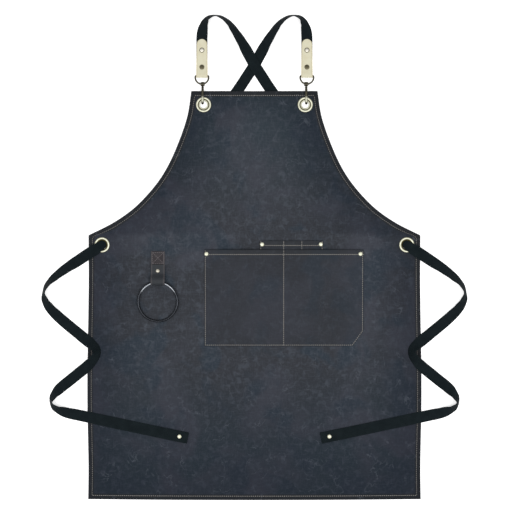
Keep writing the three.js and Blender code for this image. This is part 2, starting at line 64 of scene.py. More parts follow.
# Panel
BIB_TOP = 341.6
WAIST = 43.6
SKIRT_HEM = -502.4
WAIST_HALF = 343.0
HEM_HALF = 344.0
HEM_SAG = 2.0
SAG_FROM = -410.0
SKIRT_Y = (SKIRT_HEM, -440.0, -380.0, -320.0, -255.0, -190.0, -120.0, -40.0, WAIST)
SKIRT_HALF = (HEM_HALF, 343.3, 344.2, 345.5, 345.7, 344.9, 343.6, 342.6, WAIST_HALF)
ARMHOLE_Y = (WAIST, 67.0, 92.0, 116.6, 153.8, 191.0, 240.8, 290.5, BIB_TOP)
ARMHOLE_HALF = (WAIST_HALF, 296.0, 258.4, 231.2, 199.5, 176.7, 154.9, 138.4, 130.4)
HEM = 11.0
HEM_SEAM = 8.2
BIB_SEAM = 9.2
SIDE_SEAM_TOP = WAIST - 0.6 * HEM_SEAM
ARMHOLE_SEAM_FOOT = WAIST + 0.5
EDGE_STEPS = (0.0, 0.5, 1.5, 3.5, 6.0, 7.4, HEM_SEAM, 9.0, HEM, 12.5, 16.0, 22.0)
EDGE_LAST = len(EDGE_STEPS) - 1
PANEL_MIDDLE = 76
PANEL_COLUMNS = PANEL_MIDDLE + 2 * EDGE_LAST

# How far from its edges painted shade darkens the canvas, from a little outside its foot and top
SHADE_SIDE_REACH = 130.0
SHADE_FOOT_REACH = 430.0
SHADE_TOP_REACH = 150.0
SHADE_OUTSIDE = 60.0
SIDE_LIGHT_LEAST = 0.22
POCKET_LIGHT_LEVEL = 0.82

# Grommets
BIB_GROMMET = (105.0, 313.3)
WAIST_GROMMET = (315.0, 23.7)
GROMMET_OUTER = 16.0
GROMMET_HOLE = 9.5
GROMMET_BARREL = 10.5
GROMMET_ROOM = 0.6
BIB_THROAT = 7.2
GROMMET_BACK = 12.8
GROMMET_HIGH = 1.8
GROMMET_LOW = 0.9

# The cloth's underside: it rests on its hem, and the straps and hooks raise the bib.
SKIRT_LIFT = CANVAS
BIB_LIFT = 2.2
LIFT_FROM = -150.0
LIFT_TO = -10.0
HOOK_LIFT = 1.5
HOOK_LIFT_Y = BIB_GROMMET[1] + 10.0
HOOK_FLAT = 38.0
HOOK_REACH = 112.0

# Marks that folds and stitches leave: how deep they are at their line, and how far they reach from it
Mark = namedtuple("Mark", "most reach")
HEM_FOLD = Mark(0.9, 1.6)
HEM_UNDER = Mark(0.5, 1.2)
HEM_STITCHED = Mark(0.5, 0.9)
MOUTH_FOLD = Mark(0.9, 1.5)
MOUTH_STITCHED = Mark(0.45, 0.8)
DIVIDER_STITCHED = Mark(0.4, 1.2)
PEN_FOLD = Mark(0.7, 1.5)
PEN_STITCHED = Mark(0.4, 0.8)
PEN_END = Mark(0.7, 1.2)

# A hem's cloth is plump, doubled and greyer, and eases off between two distances from its edge.
HEM_PLUMP = 0.45
PLUMP_RISE = 2.0
PLUMP_EASE = 1.5
HEM_DOUBLED = (HEM - 1, HEM + 1)
HEM_GREYED = (HEM - 1, HEM + 2)
HEM_GREY = 0.85
MOUTH_DOUBLED = (9.4, 11.0)
MOUTH_GREYED = (9.0, 12.0)
MOUTH_GREY = 0.35

# Pockets
POCKET_LEFT = -104.0
POCKET_RIGHT = 226.0
POCKET_BOTTOM = -186.0
POCKET_TOP = 13.6
POCKET_DIVIDER = 60.4
CORNER_WIDE = 23.0
CORNER_HIGH = 32.0
POCKET_GAPES = (7.5, 6.0)
GAPE_ROUND = 0.7
GAPE_RISE = 1.2
SIDE_SEAM = 2.6
SEW_STEPS = (0.0, 0.5, 1.4, 2.0, SIDE_SEAM, 3.2, 4.4, 7.0)
SEW_LAST = len(SEW_STEPS) - 1
POCKET_MIDDLE = 17
HALF_POCKET = 2 * SEW_LAST + POCKET_MIDDLE
SEAM_END = 1.0
MOUTH_SEAM = 9.7
MOUTH_BAND = 14.0
MOUTH_STEPS = (11.5, 10.4, MOUTH_SEAM, 9.0, 7.6, 4.5, 1.6, 0.5, 0.0)
PEN_BOTTOM = -45.0
PEN_TOP = 32.2
PEN_GAPE = 2.0
PEN_HEM = 0.7 * CANVAS
PEN_FOOT_STEPS = (0.0, 0.6, 2.0, 3.0)
PEN_DIVIDERS = (10.6, POCKET_DIVIDER, 97.9, 142.4)
PEN_SEAM_TOP = PEN_TOP - 0.8
PEN_SEAM_FOOT = POCKET_TOP - 4.0
SLOT_COLUMNS = 12
SLOT_CROWDING = 0.6

# The main pocket lies over the pen pocket, and eases down to the panel between two distances from it.
COVER_BESIDE = (4.0, 16.0)
COVER_BELOW = (6.0, 22.0)

# Rivets: radius and height of the cap, radius of the post, radius and depth of the back, and how dark the
# cap's rim and crown are painted
Rivet = namedtuple("Rivet", "cap high post back low rim crown", defaults=(0.0, 0.0))
CLOTH_RIVET = Rivet(4.3, 2.0, 1.4, 3.0, 0.8)
WORN_RIVET = CLOTH_RIVET._replace(rim=0.55, crown=0.45)
RINGED_RIVET = Rivet(5.1, 1.9, 1.5, 2.2, 0.3, rim=0.85)
DARK_RIVET = RINGED_RIVET._replace(crown=0.92)
POCKET_RIVETS = {"left": (-99.0, 5.0), "right": (219.0, 5.0)}
PEN_RIVETS = {"left": (15.8, 24.6), "right": (137.0, 24.8)}
POCKET_RIVET_INWARD = 4.0
PEN_RIVET_GAPE = 0.45 * PEN_GAPE
TIE_RIVET = (155.0, -372.2)

# Tabs, rings and hooks at the bib corners
TAB_X = 108.5
TAB_TOP = 448.9
TAB_WIDE = 23.4
TAB_THICK = 2.0
TAB_TAPER = 0.9
TAPER_LENGTH = 60.0
TAB_BACK = 1.2
TAB_FRONT = TAB_BACK + TAB_THICK + WEBBING + 2 * GAP
TAB_RIVETS = {"upper": (425.9, RINGED_RIVET), "lower": (390.9, DARK_RIVET)}
TAB_RIVET_LOW = 1.0
D_BAR_Y = 373.0
D_BAR_Z = 4.7
D_HALF = 13.9
D_BOW_Y = 356.0
D_WIRE = 1.75
D_CORNER = 2.2
HOOK_X = 107.0
HOOK_BOTTOM = 313.4
HOOK_TOP = 349.5
HOOK_LOW = 0.2
HOOK_HIGH = 12.4
HOOK_BAR = 2.9
HOOK_THICK = 4.7
HOOK_EYE = 3.4
HOOK_EYE_WIRE = 1.15
HOOK_EYE_HALF = 4.2

# Collar and hinge pin as outlines of (radius, height)
COLLAR = ((0.0, -0.6), (2.2, -0.6), (2.7, 0.0), (2.7, 1.4), (2.0, 2.0), (2.0, 3.4), (0.0, 3.4))
COLLAR_SUNK = 0.8
PIN = ((0.0, -2.7), (0.7, -2.7), (0.9, -2.5), (0.9, 2.5), (0.7, 2.7), (0.0, 2.7))
PIN_FROM_BEND = 3.0

# Above the D-ring's bar, a tab's bend round the bar ends, and its two sides come together.
TAB_BEND = 2.0
TAB_NARROWS = 14.0

# The hook's nose has a painted highlight from one distance above its lower end to another, which eases in
# and out.
NOSE_HIGHLIGHT_FROM = (4.6, 7.1)
NOSE_HIGHLIGHT_TO = (12.0, 16.0)

# Towel loop and ring
LOOP_X = -199.5
LOOP_TOP = 10.4
LOOP_END = -17.0
LOOP_WIDE = 28.0
LOOP_THICK = 1.6
LOOP_RIVET = -30.0
LOOP_INSIDE = 5.3
LOOP_SEAM = 2.4
LOOP_SEAM_FOOT = LOOP_END + 2.2
RING_TOP = -53.2
RING_RADIUS = 40.5
RING_WIRE = 2.4

# The loop leaves the panel below its seam, is level behind its rivet, and straight beside the ring.
LOOP_SEWN = LOOP_END + 1.0
LOOP_LEVEL = (LOOP_RIVET + 6.0, LOOP_RIVET - 8.0)
LOOP_FRONT_LEVEL = LOOP_RIVET - 5.2
LOOP_STRAIGHT = RING_TOP + 4.5
LOOP_BEND = RING_TOP + 1.0
LOOP_BACK_POINTS = 34
LOOP_FRONT_POINTS = 26

# The ring has a painted highlight on its inner front, in an arc at its top: distances from the wire's
# middle, and radians
HIGHLIGHT_INNER = (-0.8, 0.4)
HIGHLIGHT_FRONT = (-0.6, 0.6)
HIGHLIGHT_ARC = (0.8, 1.15)

# Route of the strap that starts in the left tab. rests is the height of what it lies on, roll in degrees
# stands it on an edge, wide is its width where it is gathered.
StrapRow = namedtuple("StrapRow", "x y rests roll wide", defaults=(WEBBING_WIDTH,))
STRAP = [
    StrapRow(*row)
    for row in (
        (-108.5, 379.0, 2.45, 0),
        (-108.5, 451.0, 2.45, 0),
        (-108.1, 458.0, 1.6, -4),
        (-106.8, 468.5, 0.6, -23),
        (-103.5, 481.0, 0.1, -45),
        (-96.5, 491.9, 0.1, -62),
        (-80.5, 496.8, 0.1, -77),
        (-65.2, 491.9, 0.1, -67),
        (-51.6, 481.0, 0.1, -58),
        (-42.3, 468.5, 0.1, -47),
        (-26.3, 443.6, 0.5, -31),
        (-13.2, 420.0, 2.5, 0),
        (0.0, 396.0, 2.5, 0),
        (11.6, 378.0, 2.5, 0),
        (30.0, 350.0, 0.1, 0),
        (72.0, 290.0, 0.1, 0),
        (117.5, 230.6, 0.1, 0),
        (163.0, 174.0, 0.1, 0),
        (209.4, 118.0, 0.1, 0),
        (258.6, 71.6, 0.1, 0),
        (289.0, 46.4, 0.1, 0),
        (303.6, 33.0, 0.2, 0, 22.0),
        (309.4, 28.2, 0.4, 0, 17.6),
        (321.4, 19.2, 6.9, 0, 20.0),
        (328.0, 14.8, 7.1, 0),
        (340.0, 7.2, 6.2, 0),
        (352.0, -0.6, 4.6, 0),
        (367.4, -10.7, 1.4, -8),
        (388.2, -24.1, 0.1, -28),
        (410.2, -40.7, 0.1, -42),
        (427.2, -57.2, 0.1, -60),
        (434.6, -73.8, 0.1, -71),
        (432.5, -90.4, 0.1, -47),
        (422.6, -106.9, 0.1, -28),
        (406.8, -123.5, 0.1, -12),
        (388.2, -140.0, 0.1, 0),
        (367.8, -156.6, 1.4, 0),
        (354.0, -167.6, 2.8, 6),
        (345.7, -174.2, 2.8, 15),
        (330.2, -186.6, 2.8, 42),
        (324.0, -197.0, 2.8, 57),
        (330.2, -210.4, 2.8, 42),
        (346.7, -228.0, 2.8, 15),
        (358.0, -237.4, 2.8, 4),
        (381.0, -255.9, 0.1, 0),
        (401.6, -272.5, 0.1, -18),
        (415.5, -288.0, 0.1, -50),
        (419.6, -301.5, 0.1, -71),
        (410.9, -313.9, 0.1, -50),
        (388.1, -323.2, 0.1, -16),
        (368.0, -327.6, 1.4, 0),
        (350.0, -331.2, 2.8, 0),
        (241.2, -354.3, 2.8, 0),
        (165.0, -370.2, 4.1, 0),
        (137.7, -375.8, 4.1, 0),
    )
]
UNDER_STRAP_DROP = 2.4
CROSSING_ROWS = (11, 12, 13)
STRAP_STEP = 3.6
STRAP_ACROSS = (-1.0, -0.96, -0.86, -0.62, -0.38, -0.13, 0.13, 0.38, 0.62, 0.86, 0.96, 1.0)
PLEAT = 2.4
PLEATS = 2.5

# Leather strips
STRIP_ACROSS = (-1.0, -0.97, -0.9, -0.72, -0.4, 0.0, 0.4, 0.72, 0.9, 0.97, 1.0)
STRIP_RUBBED = Mark(0.85, 0.22)
END_STEPS = (0.1, 0.5, 1.2, 2.2, 3.6, 5.4, 7.8, 11.0)
FOLD_STEPS = 14

# Bands are thinner along their edges: share of the thickness at the edge, and of the half width it reaches
Edge = namedtuple("Edge", "thin wide")
STRAP_EDGE = Edge(0.45, 0.14)
STRIP_EDGE = Edge(0.5, 0.12)

# Stitches are made a few at a time, which is quicker than one large mesh. They lie a little in the cloth or
# on the leather, and some are sunk so far that only a share of the thread shows.
STITCH_BATCH = 24
STITCH_FLAT = 0.45
STITCH_IN = 0.05
STITCH_ON = 0.1
SUNK_THREAD = 0.65

# Sockets of a colour mix: how much is laid over, the colour below and the colour laid over it
SHARE, BELOW, OVER = 0, 6, 7

# One band of a wave texture is 2 pi / 20 of a unit at scale 1.
WAVE_BAND = math.pi / 10

# Patches in the canvas: their width, and the noise at which they start and are full
Patch = namedtuple("Patch", "size start full")
PLUM_CLOUDS = Patch(140, 0.42, 0.62)
BLUE_CLOUDS = Patch(80, 0.5, 0.66)
PALE_PATCHES = Patch(11, 0.48, 0.75)
SLUBS = Patch(2.4, 0.45, 0.75)
VEIN_PATCHES = Patch(26, 0.44, 0.7)
SLUB_SQUEEZE = 0.2
PALE_SHARE = 0.66
SLUB_SHARE = 0.35
VEIN_SHARE = 0.36

# Width of the canvas creases, and how far from its middle their noise still shows as a vein
CREASE = 30
VEIN_NOISE = 0.015

# The middle of the apron that hands have rubbed, in metres: wider than high, and below the origin
HANDLED_SQUEEZE = (0.6, 1.0, 1.0)
HANDLED_SHIFT = (0.0, 0.08, 0.0)
HANDLED_FULL = 0.14
HANDLED_END = 0.36

# Stage, in metres
FLOOR_HALF = 20.0
SOFTBOX_AT = (1.3, -0.8, 3.6)
CAMERA_AT = (0.0012, 0.0028)
SENSOR_MM = 36.0

QUARTER_X = Matrix.Rotation(math.pi / 2, 4, "X")
QUARTER_Y = Matrix.Rotation(math.pi / 2, 4, "Y")


def linear(hex_colour):
    """Linear RGBA of an sRGB hex colour."""
    channels = [int(hex_colour[i:i + 2], 16) / 255 for i in (1, 3, 5)]
    curve = [c / 12.92 if c <= 0.04045 else ((c + 0.055) / 1.055) ** 2.4 for c in channels]
    return (*curve, 1.0)


def clamp(value):
    """The value, held between 0 and 1."""
    return min(1.0, max(0.0, value))


def smooth(value):
    """Eases from 0 to 1."""
    share = clamp(value)
    return share * share * (3 - 2 * share)


def rise(value, start, end):
    """0 up to the start, easing to 1 at the end."""
    return smooth((value - start) / (end - start))


def fall(value, start, end):
    """1 up to the start, easing to 0 at the end."""
    return 1 - rise(value, start, end)


def marked(distance, mark):
    """How deep a mark is at a distance from its line."""
    return mark.most * fall(distance, 0, mark.reach)


def thinned(share, edge):
    """Share of a band's thickness at a share of its half width."""
    return blend(edge.thin, 1, smooth((1 - abs(share)) / edge.wide))


def blend(a, b, share):
    """The value that lies a share of the way from a to b."""
    return a + (b - a) * share


def even(low, high, count):
    """Places from low to high in count equal steps."""
    return [blend(low, high, i / count) for i in range(count + 1)]


def row_before(places, at):
    """The row of a table that a place follows."""
    return min(max(bisect_right(places, at) - 1, 0), len(places) - 2)


def eased(places, values, at):
    """Value at a place on a line that eases from one row of a table to the next."""
    row = row_before(places, at)
    return blend(values[row], values[row + 1], rise(at, places[row], places[row + 1]))


def curved(places, values, at):
    """Value at a place on a line that runs smoothly through the rows of a table."""
    row = row_before(places, at)
    slopes = []
    for i in (row, row + 1):
        before = max(0, i - 1)
        after = min(len(places) - 1, i + 1)
        slopes.append((values[after] - values[before]) / (places[after] - places[before]))
    span = places[row + 1] - places[row]
    t = (at - places[row]) / span
    leave = t * (1 - t) ** 2
    arrive = t * t * (t - 1)
    return blend(values[row], values[row + 1], smooth(t)) + span * (leave * slopes[0] + arrive * slopes[1])


def path_length(path):
    """Length of a path of points."""
    return sum(math.dist(a, b) for a, b in zip(path, path[1:]))


# Meshes


def cloth(columns, rows, place, hem=None, painted_light_and_back=None, weave=None, holes=()):
    """A closed sheet in millimetres, from a grid of columns and rows.

    place(column, row, side) gives a point of its back (side -1) or front (side 1), hem(column, row) how far
    the point is inside a sewn or rubbed edge, the function after hem how much painted light a point of
    canvas has, less of it being painted shade, and on leather whether its back shows, weave(column, row) its
    UV, and holes are cut as (x, y, radius).
    """
    bm = bmesh.new()
    column_of = bm.verts.layers.int.new("column")
    row_of = bm.verts.layers.int.new("row")
    hem_of = bm.verts.layers.float.new("hem")
    painted_light_and_back_of = bm.verts.layers.float.new("painted_light_and_back")
    weave_of = bm.loops.layers.uv.new("weave")
    bmesh.ops.create_grid(bm, x_segments=columns, y_segments=rows, size=0.5)
    for vert in bm.verts:
        spot = (round((vert.co.x + 0.5) * columns), round((vert.co.y + 0.5) * rows))
        vert[column_of], vert[row_of] = spot
        vert[hem_of] = hem(*spot) if hem else 0.0
        vert[painted_light_and_back_of] = painted_light_and_back(*spot) if painted_light_and_back else 0.0
        vert.co = place(*spot, -1)
    for x, y, radius in holes:
        punch(bm, Vector((x, y)), radius)
    raised = bmesh.ops.extrude_face_region(bm, geom=bm.faces[:], use_keep_orig=True)
    for vert in raised["geom"]:
        if isinstance(vert, bmesh.types.BMVert):
            spot = (vert[column_of], vert[row_of])
            vert.co += place(*spot, 1) - place(*spot, -1)
    if weave:
        for face in bm.faces:
            for loop in face.loops:
                loop[weave_of].uv = weave(loop.vert[column_of], loop.vert[row_of])
    for name in ("column", "row"):
        bm.verts.layers.int.remove(bm.verts.layers.int[name])
    return bm


def punch(bm, centre, radius):
    """Cuts a round hole in a grid: takes faces out and draws the rim in to the radius."""
    inside = [f for f in bm.faces if (f.calc_center_median().xy - centre).length < radius * 1.1]
    rim = {v for f in inside for v in f.verts}
    bmesh.ops.delete(bm, geom=inside, context="FACES")
    for vert in rim:
        if vert.is_valid:
            vert.co.xy = centre + (vert.co.xy - centre).normalized() * radius


def turned(profile, steps, closed=False):
    """A shape turned about the Z axis from a profile of (radius, height), and how dark it is painted, as
    patina and shade.
    """
    bm = bmesh.new()
    patina_and_shade_of = bm.verts.layers.float.new("patina_and_shade")
    verts = []
    for radius, height, *patina_and_shade in profile:
        vert = bm.verts.new((radius, 0.0, height))
        vert[patina_and_shade_of] = sum(patina_and_shade)
        verts.append(vert)
    pairs = list(zip(verts, verts[1:]))
    if closed:
        pairs.append((verts[-1], verts[0]))
    edges = [bm.edges.new(pair) for pair in pairs]
    bmesh.ops.spin(
        bm, geom=verts + edges, cent=(0, 0, 0), axis=(0, 0, 1), angle=math.tau, steps=steps, use_merge=True
    )
    bmesh.ops.remove_doubles(bm, verts=bm.verts, dist=0.001)
    return bm


def ring(radius, wide, high, around, steps):
    """A ring of oval wire about the Z axis, with a number of points around the wire."""
    angles = even(0, math.tau, around)[:-1]
    wire = [(radius + wide * math.cos(angle), high * math.sin(angle)) for angle in angles]
    return turned(wire, steps, closed=True)


def paint_highlight(bm, amount):
    """Notes how strong a painted highlight is at each point, from amount(point)."""
    highlight_of = bm.verts.layers.float.new("rubbed")
    for vert in bm.verts:
        vert[highlight_of] = amount(vert.co)


def section(bm, wide, high, matrix, segments=16):
    """The round end of a rod, ready to be drawn along its path."""
    flat = matrix @ Matrix.Diagonal((wide / 2, high / 2, 1, 1))
    return bmesh.ops.create_circle(bm, segments=segments, radius=1, matrix=flat)["verts"]


def drawn(bm, end, cent=(0, 0, 0), axis=(0, 0, 1), angle=0.0, dvec=(0, 0, 0), steps=1):
    """Draws the end of a rod round a bend, or straight by dvec for each step, and gives its new end."""
    inside = set(end)
    edges = [e for e in bm.edges if e.verts[0] in inside and e.verts[1] in inside]
    made = bmesh.ops.spin(bm, geom=end + edges, cent=cent, axis=axis, angle=angle, dvec=dvec, steps=steps)
    return [g for g in made["geom_last"] if isinstance(g, bmesh.types.BMVert)]


def moved(bm, x, y, z, turn=Matrix.Identity(4)):
    """Turns a bmesh about the origin and moves it to its place."""
    bmesh.ops.transform(bm, matrix=Matrix.Translation((x, y, z)) @ turn, verts=bm.verts)
    return bm


def add_to(bm, extra):
    """Adds one bmesh to another."""
    part = bpy.data.meshes.new("part")
    extra.to_mesh(part)
    extra.free()
    bm.from_mesh(part)
    bpy.data.meshes.remove(part)


def seam(bm, path, share=1.0):
    """Lays stitches along a path of points, with a share of their thread above the cloth."""
    length, pitch, width = bpy.context.scene.apron_cloth.stitch_sizes(share)
    shape = Matrix.Diagonal((length / 2, width / 2, width * STITCH_FLAT, 1))
    spots = []
    reach = 0.0
    for start, end in zip(path, path[1:]):
        step = end - start
        turn = step.to_track_quat("X", "Z").to_matrix().to_4x4()
        while pitch * (len(spots) + 0.5) < reach + step.length:
            along = (pitch * (len(spots) + 0.5) - reach) / step.length
            spots.append(Matrix.Translation(start.lerp(end, along)) @ turn @ shape)
        reach += step.length
    for first in range(0, len(spots), STITCH_BATCH):
        batch = bmesh.new()
        for spot in spots[first:first + STITCH_BATCH]:
            bmesh.ops.create_uvsphere(batch, u_segments=6, v_segments=4, radius=1, matrix=spot)
        add_to(bm, batch)


def run(points, height, count=30):
    """A stitch path through flat points, at the height of the cloth below it."""
    path = []
    for (x0, y0), (x1, y1) in zip(points, points[1:]):
        for share in even(0, 1, count):
            x = blend(x0, x1, share)
            y = blend(y0, y1, share)
            path.append(Vector((x, y, height(x, y))))
    return path


def make_piece(name, bm, finish, slot, *nodes, body="apron", crease=45.0):
    """Makes a bmesh in millimetres a piece that rides on a body and stands for CAD nodes."""
    bmesh.ops.recalc_face_normals(bm, faces=bm.faces)
    bmesh.ops.scale(bm, vec=(MM, MM, MM), verts=bm.verts)
    mesh = bpy.data.meshes.new(name)
    bm.to_mesh(mesh)
    bm.free()
    mesh.materials.append(finish)
    mesh.shade_smooth()
    mesh.set_sharp_from_angle(angle=math.radians(crease))
    piece = bpy.data.objects.new(name, mesh)
    bpy.context.scene.collection.objects.link(piece)
    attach(piece, body)
    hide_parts(*nodes)
    return piece


# Materials


def scale_of(size):
    """Scale of a noise whose features are about a size in millimetres."""
    return 1 / (size * MM)


def wave_scale(size):
    """Scale of a wave texture whose bands are a size in millimetres apart."""
    return WAVE_BAND / (size * MM)


def add_node(tree, kind, inputs, **settings):
    """Adds one node with its settings, sets or links its inputs, and gives its main output."""
    node = tree.nodes.new("ShaderNode" + kind)
    for key, value in settings.items():
        setattr(node, key, value)
    for key, value in inputs.items():
        if isinstance(value, bpy.types.NodeSocket):
            tree.links.new(value, node.inputs[key])
        else:
            node.inputs[key].default_value = value
    enabled = [socket for socket in node.outputs if socket.enabled]
    preferred = [socket for socket in enabled if socket.name in ("Object", "Fac")]
    return next(iter(preferred + enabled), None)


def start_finish(name):
    """An empty material of that name, its node tree and its Object coordinates."""
    finish = bpy.data.materials.get(name) or bpy.data.materials.new(name)
    finish.use_nodes = True
    tree = finish.node_tree
    tree.nodes.clear()
    return finish, tree, add_node(tree, "TexCoord", {})


def end_finish(finish, inputs):
    """Ends a material in its shader."""
    shader = add_node(finish.node_tree, "BsdfPrincipled", inputs)
    add_node(finish.node_tree, "OutputMaterial", {"Surface": shader})
    return finish


def waxed_canvas(name, clouds, creases):
    """Waxed cotton canvas in a plain weave, with clouds in its wax and marks along its creases."""
    # The wax takes unevenly and cracks where the cloth is creased. The eye sees plum and blue clouds, fine
    # pale veins in all directions, a greyer middle that hands have rubbed, painted shade that darkens the
    # cloth towards its edges, and a greyer hem, where the cloth is double.
    looks = bpy.context.scene.apron_cloth
    finish, tree, place = start_finish(name)

    def patched(below, patch, most, over, squeeze=(1, 1, 1)):
        """Lays soft patches of a colour over the cloth, longer where they are squeezed."""
        along = add_node(tree, "VectorMath", {0: place, 1: squeeze}, operation="MULTIPLY")
        noise = {"Vector": along, "Scale": scale_of(patch.size), "Detail": 4.0, "Distortion": 0.6}
        value = add_node(tree, "TexNoise", noise)
        span = {"Value": value, "From Min": patch.start, "From Max": patch.full, "To Max": most}
        share = add_node(tree, "MapRange", span, interpolation_type="SMOOTHSTEP")
        return add_node(tree, "Mix", {SHARE: share, BELOW: below, OVER: over}, data_type="RGBA")

    handled_place = {0: place, 1: HANDLED_SQUEEZE, 2: HANDLED_SHIFT}
    around = add_node(tree, "VectorMath", handled_place, operation="MULTIPLY_ADD")
    away = add_node(tree, "VectorMath", {0: around}, operation="LENGTH")
    span = {"Value": away, "From Min": HANDLED_FULL, "From Max": HANDLED_END, "To Min": 1.0, "To Max": 0.0}
    handled = add_node(tree, "MapRange", span, interpolation_type="SMOOTHSTEP")
    slate = {SHARE: handled, BELOW: looks.canvas_colour, OVER: looks.canvas_handled_colour}
    shade = add_node(tree, "Mix", slate, data_type="RGBA")
    shade = patched(shade, PLUM_CLOUDS, clouds, looks.canvas_plum_colour)
    shade = patched(shade, BLUE_CLOUDS, clouds, looks.canvas_blue_colour)
    shade = patched(shade, PALE_PATCHES, PALE_SHARE * creases, looks.canvas_pale_colour)
    # Slubs: thick places in the yarns, both ways of the weave, drawn coarse so that they show.
    for squeeze in ((1, SLUB_SQUEEZE, 1), (SLUB_SQUEEZE, 1, 1)):
        shade = patched(shade, SLUBS, SLUB_SHARE * creases, looks.canvas_pale_colour, squeeze)
    hem = add_node(tree, "Attribute", {}, attribute_name="hem")
    shade = add_node(tree, "Mix", {SHARE: hem, BELOW: shade, OVER: looks.hem_colour}, data_type="RGBA")
    # Painted shade: the painted shade colour is multiplied in where a point has less painted light, towards
    # the panel's edges, foot and top, and evenly over the pockets.
    painted_light_and_back = add_node(tree, "Attribute", {}, attribute_name="painted_light_and_back")
    painted_shade_share = add_node(tree, "Math", {0: 1.0, 1: painted_light_and_back}, operation="SUBTRACT")
    rim = {SHARE: painted_shade_share, BELOW: shade, OVER: looks.canvas_painted_shade_colour}
    shade = add_node(tree, "Mix", rim, data_type="RGBA", blend_type="MULTIPLY")
    # Veins: the narrow bands where a noise is near its middle value, kept only in patches. Cracks in wax are
    # under half a millimetre wide, and drawn about 2 mm wide so that they show.
    noise = {"Vector": place, "Scale": scale_of(CREASE), "Detail": 5.0, "Distortion": 0.5}
    winding = add_node(tree, "TexNoise", noise)
    off_middle = add_node(tree, "Math", {0: winding, 1: 0.5}, operation="SUBTRACT")
    beside = add_node(tree, "Math", {0: off_middle}, operation="ABSOLUTE")
    span = {"Value": beside, "From Max": VEIN_NOISE, "To Min": 1.0, "To Max": 0.0}
    line = add_node(tree, "MapRange", span)
    patch = VEIN_PATCHES
    where = add_node(tree, "TexNoise", {"Vector": place, "Scale": scale_of(patch.size), "Detail": 1.0})
    most = VEIN_SHARE * creases
    span = {"Value": where, "From Min": patch.start, "From Max": patch.full, "To Max": most}
    kept = add_node(tree, "MapRange", span, interpolation_type="SMOOTHSTEP")
    vein = add_node(tree, "Math", {0: line, 1: kept}, operation="MULTIPLY")
    veins = {SHARE: vein, BELOW: shade, OVER: looks.canvas_vein_colour}
    shade = add_node(tree, "Mix", veins, data_type="RGBA")
    # Yarns of 0.6 mm, drawn 0.9 mm apart so that they show from near.
    yarns = {"Vector": place, "Scale": wave_scale(0.9)}
    warp = add_node(tree, "TexWave", yarns, bands_direction="X")
    weft = add_node(tree, "TexWave", yarns, bands_direction="Y")
    weave = add_node(tree, "Math", {0: warp, 1: weft}, operation="MAXIMUM")
    woven = add_node(tree, "Bump", {"Height": weave, "Distance": 0.1 * MM, "Strength": 0.5})
    crease = {"Height": winding, "Distance": 1.2 * MM, "Strength": 0.5, "Normal": woven}
    return end_finish(finish, {
        "Base Color": shade,
        "Roughness": add_node(tree, "MapRange", {"Value": winding, "To Min": 0.66, "To Max": 0.88}),
        "Normal": add_node(tree, "Bump", crease),
        "Specular IOR Level": 0.12,
    })


def ribbed_webbing():
    """Polyester webbing, woven in lengthwise ribs."""
    # Tightly ribbed black tape: dull, with a teal cast and a faint pale rib line.
    looks = bpy.context.scene.apron_cloth
    finish, tree, place = start_finish("polyester_webbing_ribbed_weave")
    # Ribs 1.9 mm apart, crossed by picks 1.3 mm apart.
    weave = add_node(tree, "UVMap", {}, uv_map="weave")
    ribs = add_node(tree, "TexWave", {"Vector": weave, "Scale": wave_scale(1.9)}, bands_direction="Y")
    picks = add_node(tree, "TexWave", {"Vector": weave, "Scale": wave_scale(1.3)}, bands_direction="X")
    yarn = add_node(tree, "Math", {0: ribs, 1: picks}, operation="MULTIPLY")
    worn = add_node(tree, "TexNoise", {"Vector": place, "Scale": scale_of(14), "Detail": 3.0})
    patchy = add_node(tree, "MapRange", {"Value": worn, "From Min": 0.35, "From Max": 0.7, "To Min": 0.3})
    ribbed = add_node(tree, "Math", {0: patchy, 1: yarn}, operation="MULTIPLY")
    tape = {SHARE: ribbed, BELOW: looks.webbing_colour, OVER: looks.webbing_worn_colour}
    return end_finish(finish, {
        "Base Color": add_node(tree, "Mix", tape, data_type="RGBA"),
        "Roughness": 0.8,
        "Normal": add_node(tree, "Bump", {"Height": yarn, "Distance": 0.35 * MM, "Strength": 0.8}),
        "Specular IOR Level": 0.06,
    })


def sewing_thread(name, fresh, waxed):
    """Bonded cotton thread, twisted and sewn."""
    # Thread that darkens where the wax soaks it.
    finish, tree, place = start_finish(name)
    wax = add_node(tree, "TexNoise", {"Vector": place, "Scale": scale_of(30), "Detail": 2.0})
    plies = {"Vector": place, "Scale": wave_scale(0.8)}
    twist = add_node(tree, "TexWave", plies, bands_direction="DIAGONAL")
    return end_finish(finish, {
        "Base Color": add_node(tree, "Mix", {SHARE: wax, BELOW: fresh, OVER: waxed}, data_type="RGBA"),
        "Roughness": 0.7,
        "Normal": add_node(tree, "Bump", {"Height": twist, "Distance": 0.1 * MM}),
    })


def tan_thread():
    """Tan thread of the hems and pockets."""
    looks = bpy.context.scene.apron_cloth
    return sewing_thread("bonded_cotton_thread_twisted", looks.thread_colour, looks.thread_waxed_colour)


def brown_thread():
    """Brown thread of the towel loop."""
    looks = bpy.context.scene.apron_cloth
    shades = (looks.loop_thread_colour, looks.loop_thread_waxed_colour)
    return sewing_thread("bonded_cotton_thread_dyed_brown", *shades)


